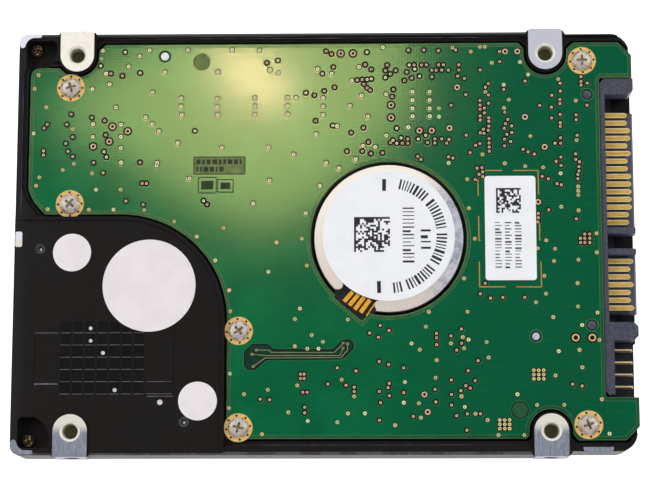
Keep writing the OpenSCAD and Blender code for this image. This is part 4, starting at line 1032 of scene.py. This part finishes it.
def matrix(ink, x0, x1, y0, y1, cells, z):
    """Square of random cells with two solid sides. It carries no data."""
    width, height = (x1 - x0) / cells, (y1 - y0) / cells
    for i in range(cells):
        start = None
        for j in range(cells + 1):
            on = j < cells and (i == 0 or j == cells - 1 or rng.random() < 0.48)
            if on and start is None:
                start = j
            if not on and start is not None:
                ink.box(x0 + i * width, x0 + (i + 1) * width,
                        y0 + start * height, y0 + j * height, z, z + INK)
                start = None


def ticks(ink, x, start, end, width, pitch, z, finish="ink"):
    """A column of plain bars of mixed thickness that runs along -Y"""
    y, left = start, x - width / 2
    while y - pitch >= end:
        bar_width = width * rng.choice((0.7, 1.0, 1.0))
        thickness = pitch * rng.choice((0.24, 0.36, 0.55))
        ink.box(left, left + bar_width, y - thickness, y, z, z + INK, finish=finish)
        y -= pitch


def curved_row(ink, z):
    """Radial bars in groups of nine along the +X edge of the round label"""
    cx, cy, inner, outer = 10.4, 0.75, 7.75, 9.45
    angle, count = 78.0, 0
    while angle > -84:
        width = rng.choice((1.3, 2.0, 3.0))
        middle = math.radians(angle - width / 2)
        c, s = math.cos(middle), math.sin(middle)
        ink.bar((cx + inner * c, cy + inner * s), (cx + outer * c, cy + outer * s),
                math.radians(width) * (inner + outer) / 2, z, z + INK)
        count += 1
        angle -= width + (1.9 if count % 9 else 6.0)


def label_print():
    ink = Build("label_print", "ink ink_grey", slot="label_paper")
    z = top_of("spindle_label")
    matrix(ink, 4.82, 10.62, -1.97, 3.77, cells=18, z=z)
    ink.bar((9.72, 10.0), (9.69, 8.06), 0.62, z, z + INK)
    ink.bar((8.80, -6.72), (8.84, -8.66), 0.62, z, z + INK)
    ticks(ink, 13.6, 5.3, -4.5, width=1.85, pitch=0.62, z=z)
    ticks(ink, 16.4, 1.7, -2.1, width=1.6, pitch=0.95, z=z)
    curved_row(ink, z)
    z = top_of("pcb_label")
    matrix(ink, 27.8, 31.8, 4.4, 8.5, cells=14, z=z)
    for x, finish in ((28.1, "ink_grey"), (29.7, "ink"), (31.3, "ink_grey")):
        ticks(ink, x, 2.9, -5.2, width=1.05, pitch=0.52, z=z, finish=finish)
    ink.make()


def cover_print():
    """Plain panels and bars on the lower face of the cover's sheet label"""
    ink = Build("cover_label_print", "ink ink_grey", slot="label_paper")
    low, high = -0.004, 0.002

    def panel(x0, x1, y0, y1, finish="ink"):
        ink.face([(x0, y0, low), (x0, y1, low), (x1, y1, low), (x1, y0, low)], finish)
        for p, q in rectangle_sides(x0, x1, y0, y1):
            ink.face([(*p, low), (*q, low), (*q, high), (*p, high)], finish)

    x = -38.0
    while x < 4:
        width = rng.choice((0.25, 0.4, 0.65))
        panel(x, x + width, -24.5, -17.5)
        x += width + rng.choice((0.3, 0.5, 0.8))
    for row in range(7):
        y = -12.5 + 4.6 * row
        x = -38.0
        while x < rng.choice((-4, 6, 12)):
            width = 1.2 + 3.6 * rng.random()
            # a gap is left near (-34, 20)
            if not (abs(x + 34) < 5.5 and abs(y - 20) < 3.2):
                panel(x, x + width, y, y + (1.5 if row % 3 else 2.2),
                      "ink_grey" if row % 2 else "ink")
            x += width + 0.9
    for side in ((16, 41, -24.5, -23.9), (16, 41, -3.1, -2.5), (16, 16.6, -23.9, -3.1),
                 (40.4, 41, -23.9, -3.1)):
        panel(*side)
    for row in range(4):
        panel(18.5, 36.5 - 4 * (row % 2), -20.8 + 4.4 * row, -19.3 + 4.4 * row, "ink_grey")
    panel(18, 38, 3, 4.4)
    panel(18, 33, 8, 9.4, "ink_grey")
    panel(18, 36, 13, 14.4, "ink_grey")
    ink.make()


label_print()
cover_print()


# ------------------------------------------------------------------ casting details

TILE_PITCH = 1.97
TILES_X, TILES_Y = -42.35, -13.2   # corner of the tile grid at -X, +Y
# Bars that frame the tiles: start, end, width, height over the deck, bevel, finish
DECK_BARS = (
    ((-24.1, -14.0), (-24.1, -25.2), 0.10, 0.05, 0.02, "tile"),
    ((-28.2, -25.26), (-24.1, -25.26), 0.12, 0.06, 0.02, "tile_line"),
    ((-42.75, -15.09), (-42.75, -23.2), 0.08, 0.05, 0.02, "tile"),
    ((-46.46, -23.25), (-42.68, -23.25), 0.26, 0.06, 0.03, "tile_line"),
    ((-46.46, -15.09), (-46.46, -23.2), 0.10, 0.05, 0.02, "tile"),
    ((-46.46, -15.02), (-42.68, -15.02), 0.10, 0.05, 0.02, "tile_line"),
)
# Punch marks: x, y, radius
PUNCHES = ((-37.48, -14.29, 0.30), (-37.45, -16.31, 0.30), (-35.45, -18.28, 0.32),
           (-33.47, -24.24, 0.34), (-26.21, -26.22, 0.44))


def deck_relief():
    """Raised tiles, bars and marks on the deck over the voice coil motor"""
    deck = Build("deck_relief", "tile tile_line punch", slot="black_casting")
    base = DECK_Z - 0.02

    def tile_edge(start, end, row):
        y = TILES_Y - TILE_PITCH * row - TILE_PITCH + 0.16
        deck.bar((start, y), (end, y), 0.10, base, DECK_Z + 0.05, bevel=0.02,
                 finish="tile_line")

    for i in range(7):
        for j in range(6):
            x0, y1 = TILES_X + TILE_PITCH * i, TILES_Y - TILE_PITCH * j
            deck.box(x0 + 0.05, x0 + TILE_PITCH - 0.30, y1 - TILE_PITCH + 0.24, y1 + 0.02,
                     base, DECK_Z + 0.045, bevel=0.03)
            tile_edge(x0 + 0.06, x0 + TILE_PITCH - 0.31, j)
    # a wider column beside the last two rows
    for row in (4, 5):
        tile_edge(-28.35, -24.35, row)
    for start, end, width, height, bevel, finish in DECK_BARS:
        deck.bar(start, end, width, base, DECK_Z + height, bevel, finish)
    for x, y, radius in PUNCHES:
        profile = [(radius * share, DECK_Z + height)
                   for share, height in ((1.0, -0.01), (0.98, 0.075), (0.6, 0.062), (0.2, 0.05))]
        deck.capped(circles(x, y, profile, 20), "punch")
    # witness pits: a painted highlight round each rim and on its floor, and a painted glint at the
    # bottom
    pit_floor = 8.69
    for x, y in ((-45.9, -1.3), (-22.35, -29.37)):
        deck.ring(x, y, 0.70, 0.78, base, DECK_Z + 0.02, bevel=0.01, sides=24,
                  finish="tile_line")
        deck.ring(x, y, 0.42, 0.69, pit_floor, 8.78, bevel=0.03, sides=20, finish="tile_line")
        deck.disc(x + 0.05, y - 0.06, 0.22, pit_floor, 8.80, bevel=0.03, sides=12,
                  finish="punch")
    deck.make()


# Painted highlight lines on the rim: start, end, width, steps
RIM_HIGHLIGHT_LINES = (
    ((-36.8, 33.62), (32.6, 33.62), 0.12, 60),
    ((-36.5, 34.0), (-3.0, 34.0), 0.10, 40),
    ((-15.0, -33.05), (32.4, -33.05), 0.10, 50),
    ((-49.25, -27.0), (-49.25, 27.5), 0.09, 60),
)


def rim_highlights():
    """Painted highlights: thin lines whose width comes and goes, along the two long sides and the
    -X end
    """
    rim = Build("rim_highlights", "rim_line tile_line", slot="black_casting")
    z = 9.0 + 0.006
    for p, q, width, steps in RIM_HIGHLIGHT_LINES:
        left, right = [], []
        length = math.hypot(q[0] - p[0], q[1] - p[1])
        nx, ny = -(q[1] - p[1]) / length, (q[0] - p[0]) / length
        for i in range(steps + 1):
            t = i / steps
            half = width * (1 - 0.75 * rng.random()) / 2
            # both ends taper
            for end in (t, 1 - t):
                half = half * math.sin(math.pi * min(1, max(0.02, 6 * end)) / 2)
            cx, cy = p[0] + (q[0] - p[0]) * t, p[1] + (q[1] - p[1]) * t
            left.append((cx + nx * half, cy + ny * half, z))
            right.append((cx - nx * half, cy - ny * half, z))
        for i in range(steps):
            rim.face([right[i], right[i + 1], left[i + 1], left[i]])
    rim.make()


def thread(mesh, origin, axis, turns):
    """A V-shaped helical ridge that goes down a hole from the origin along the axis"""
    pitch, root, crest, half_height, steps = 0.5, 1.246, 1.10, 0.21, 28
    axis = Vector(axis)
    u = Vector((1, 0, 0))
    v = axis.cross(u)
    rows = []
    for i in range(int(turns * steps) + 1):
        t = i / steps
        a = 2 * math.pi * t
        grow = min(1.0, t * 2.5, (turns - t) * 2.5)
        outward = u * math.cos(a) + v * math.sin(a)
        center = Vector(origin) + axis * (pitch * t)
        ridge = root - (root - crest) * max(0.02, grow)
        rows.append([tuple(center + outward * root - axis * half_height),
                     tuple(center + outward * ridge),
                     tuple(center + outward * root + axis * half_height)])
    mesh.grid(rows, closed=False)


def tapped_threads():
    threads = Build("tapped_threads", "thread", slot="black_casting")
    for x in TAPPED_X:
        for side in (1, -1):
            thread(threads, (x, side * TAPPED_Y, 8.85), (0, 0, -1), turns=4.2)
            thread(threads, (x, side * 34.62, 6.5), (0, -side, 0), turns=3.2)
    threads.make(smooth=True)


deck_relief()
rim_highlights()
tapped_threads()


# ------------------------------------------------------------------ connector details

def strips(node):
    """Bounds of the separate strips of a contact node: x0, x1, y0, y1, z0, z1"""
    points = sorted((tuple(c * 1000 for c in v.co) for v in NODES[node].data.vertices),
                    key=lambda p: p[1])
    group = [points[0]]
    for p in points[1:] + [(0, 1e9, 0)]:
        # strips repeat every 1.27 mm, and none is wider than 0.95 mm
        if p[1] - group[0][1] > 0.95:
            yield [pick(q[i] for q in group) for i in range(3) for pick in (min, max)]
            group = []
        group.append(p)


def contact_edges():
    edges = Build("contact_edges", "contact_rim contact recess", slot="gold_contact")
    for node in ("power_contacts", "signal_contacts"):
        for x0, x1, y0, y1, _, z1 in strips(node):
            # painted highlights along both borders: y, width, height, bevel
            for y, width, height, bevel in ((y1 - 0.055, 0.10, 0.012, 0.01),
                                            (y0 + 0.05, 0.08, 0.010, 0.008)):
                edges.bar((x0 + 0.1, y), (x1 - 0.26, y), width, z1 - 0.02, z1 + height, bevel)
            # rounded, turned-down nose in painted highlight
            middle, half = (y0 + y1) / 2, 0.20
            rows = []
            for step in range(7):
                a = step / 6 * math.pi / 2
                x = x1 - 0.06 + 0.12 * math.sin(a)
                z = z1 + 0.012 - 0.14 * (1 - math.cos(a))
                narrow = math.sqrt(max(0.0, 1 - (0.45 * math.sin(a)) ** 2))
                rows.append([(x, middle + half * f * narrow, z) for f in (-1, -0.5, 0, 0.5, 1)])
            edges.grid(rows, closed=False)
    # lit and shaded flanks of the jumper pins
    for i in range(4):
        pin_y = -17.75 - 1.97 * i
        for y, width, top, bevel, finish in (
                (pin_y + 0.13, 0.15, 6.412, 0.01, "contact_rim"),
                (pin_y - 0.14, 0.13, 6.408, 0.008, "recess")):
            edges.bar((46.45, y), (49.32, y), width, 6.38, top, bevel, finish)
    edges.make()


contact_edges()


# ------------------------------------------------------------------ studio, in metres

def staged(name, data):
    obj = bpy.data.objects.new(name, data)
    bpy.context.scene.collection.objects.link(obj)
    return obj


def flat_mesh(name, points, indexes, material):
    mesh = bpy.data.meshes.new(name)
    mesh.from_pydata(points, [], [indexes])
    mesh.materials.append(material)
    return staged(name, mesh)


def table():
    g = Graph("pale table")
    color = g.mix(g.noise(scale=0.02, detail=2), (0.86, 0.86, 0.86), (0.88, 0.88, 0.88))
    material = g.done(color, rough=0.9, Emission_Color=(1.0, 1.0, 1.0), Emission_Strength=0.85)
    half = 3.0
    flat_mesh("table", at_height(corners(-half, half, -half, half), -0.00002), (0, 1, 2, 3),
              material)


def area(name, location, size, power, color=(1, 1, 1), size_y=None, rotation=None):
    """An area light, aimed at the origin unless its rotation is given"""
    light = bpy.data.lights.new(name, "AREA")
    light.shape = "RECTANGLE" if size_y else "SQUARE"
    light.size = size
    if size_y:
        light.size_y = size_y
    light.energy = power
    light.color = color
    obj = staged(name, light)
    obj.location = location
    aim = Vector((0, 0, 0)) - Vector(location)
    obj.rotation_euler = rotation or aim.to_track_quat("-Z", "Y").to_euler()
    return obj


# Outline of the glowing sheet, x and y
SHEET = (
    (-0.120, 0.1350), (-0.095, 0.1285), (-0.078, 0.1150), (-0.059, 0.1030), (-0.036, 0.0920),
    (-0.014, 0.1030), (0.0075, 0.1240), (0.0205, 0.1370), (0.0250, 0.1490), (0.0235, 0.1620),
    (0.018, 0.190), (-0.055, 0.196), (-0.083, 0.168), (-0.108, 0.1525),
)


def warm_sheet():
    """A cut-out sheet that glows downward, seen only in reflections"""
    g = Graph("warm_sheet glow")
    back = g.node("NewGeometry").outputs["Backfacing"]
    glow = g.node("Emission", {"Color": (0.80, 0.87, 0.27),
                               "Strength": g.mul(g.sub(1.0, back), 13.4)})
    g.put(g.output.inputs[0], glow.outputs[0])
    sheet = flat_mesh("warm_sheet", at_height(SHEET, 0.51), tuple(range(len(SHEET)))[::-1],
                      g.material)
    for ray in ("camera", "diffuse", "shadow", "transmission", "volume_scatter"):
        setattr(sheet, "visible_" + ray, False)
    return sheet


table()
area("soft_left", (-0.75, 0.25, 0.55), size=0.7, power=5.1)
area("soft_right", (0.75, 0.30, 0.60), size=0.7, power=5.0, color=(1.0, 0.99, 0.97))
area("soft_front", (0.05, -0.85, 0.50), size=0.6, power=2.7, color=(0.97, 0.98, 1.0))
area("soft_back", (0.0, 0.85, 0.55), size=0.5, power=2.3)

# The sheet leaves a broad yellow-green sheen on the board alone, the spot a paler one within it
glossy = bpy.data.collections.new("takes the warm sheen")
for obj in (NODES["pcb"], bpy.data.objects["board_border"]):
    glossy.objects.link(obj)
warm_sheet().light_linking.receiver_collection = glossy
spot = area("warm_spot", (-0.0392, 0.1508, 0.495), size=0.028, size_y=0.005, power=0.065,
            color=(1.0, 0.60, 0.36), rotation=(0, 0, math.radians(-31.6)))
spot.visible_diffuse = False
spot.light_linking.receiver_collection = glossy

scene = bpy.context.scene


def studio_world():
    """A grey sky, pale below and dark overhead"""
    world = bpy.data.worlds.new("studio")
    scene.world = world
    world.use_nodes = True
    tree = world.node_tree
    tree.nodes.clear()
    output, background, coords, split, ramp = (
        tree.nodes.new("ShaderNode" + kind)
        for kind in ("OutputWorld", "Background", "TexCoord", "SeparateXYZ", "ValToRGB"))
    tree.links.new(coords.outputs["Generated"], split.inputs[0])
    tree.links.new(split.outputs[2], ramp.inputs[0])
    tree.links.new(ramp.outputs[0], background.inputs[0])
    tree.links.new(background.outputs[0], output.inputs[0])
    low, high = ramp.color_ramp.elements
    low.position = 0.0
    low.color = (0.95, 0.95, 0.96, 1)
    high.position = 0.96
    high.color = (0.10, 0.10, 0.105, 1)
    ramp.color_ramp.elements.new(0.55).color = (0.42, 0.42, 0.43, 1)
    background.inputs["Strength"].default_value = 0.66


studio_world()
scene.view_settings.view_transform = "Standard"
scene.view_settings.look = "None"

camera_data = bpy.data.cameras.new("camera")
camera_data.sensor_width = 36.0
camera_data.lens = 121.846
camera_data.clip_start = 0.01
camera_data.clip_end = 20.0
camera = staged("camera", camera_data)
camera.location = (0.00781219, -0.06173118, 0.35857731)
camera.rotation_euler = (0.17274479, 0.02189494, 0.00034891)
scene.camera = camera
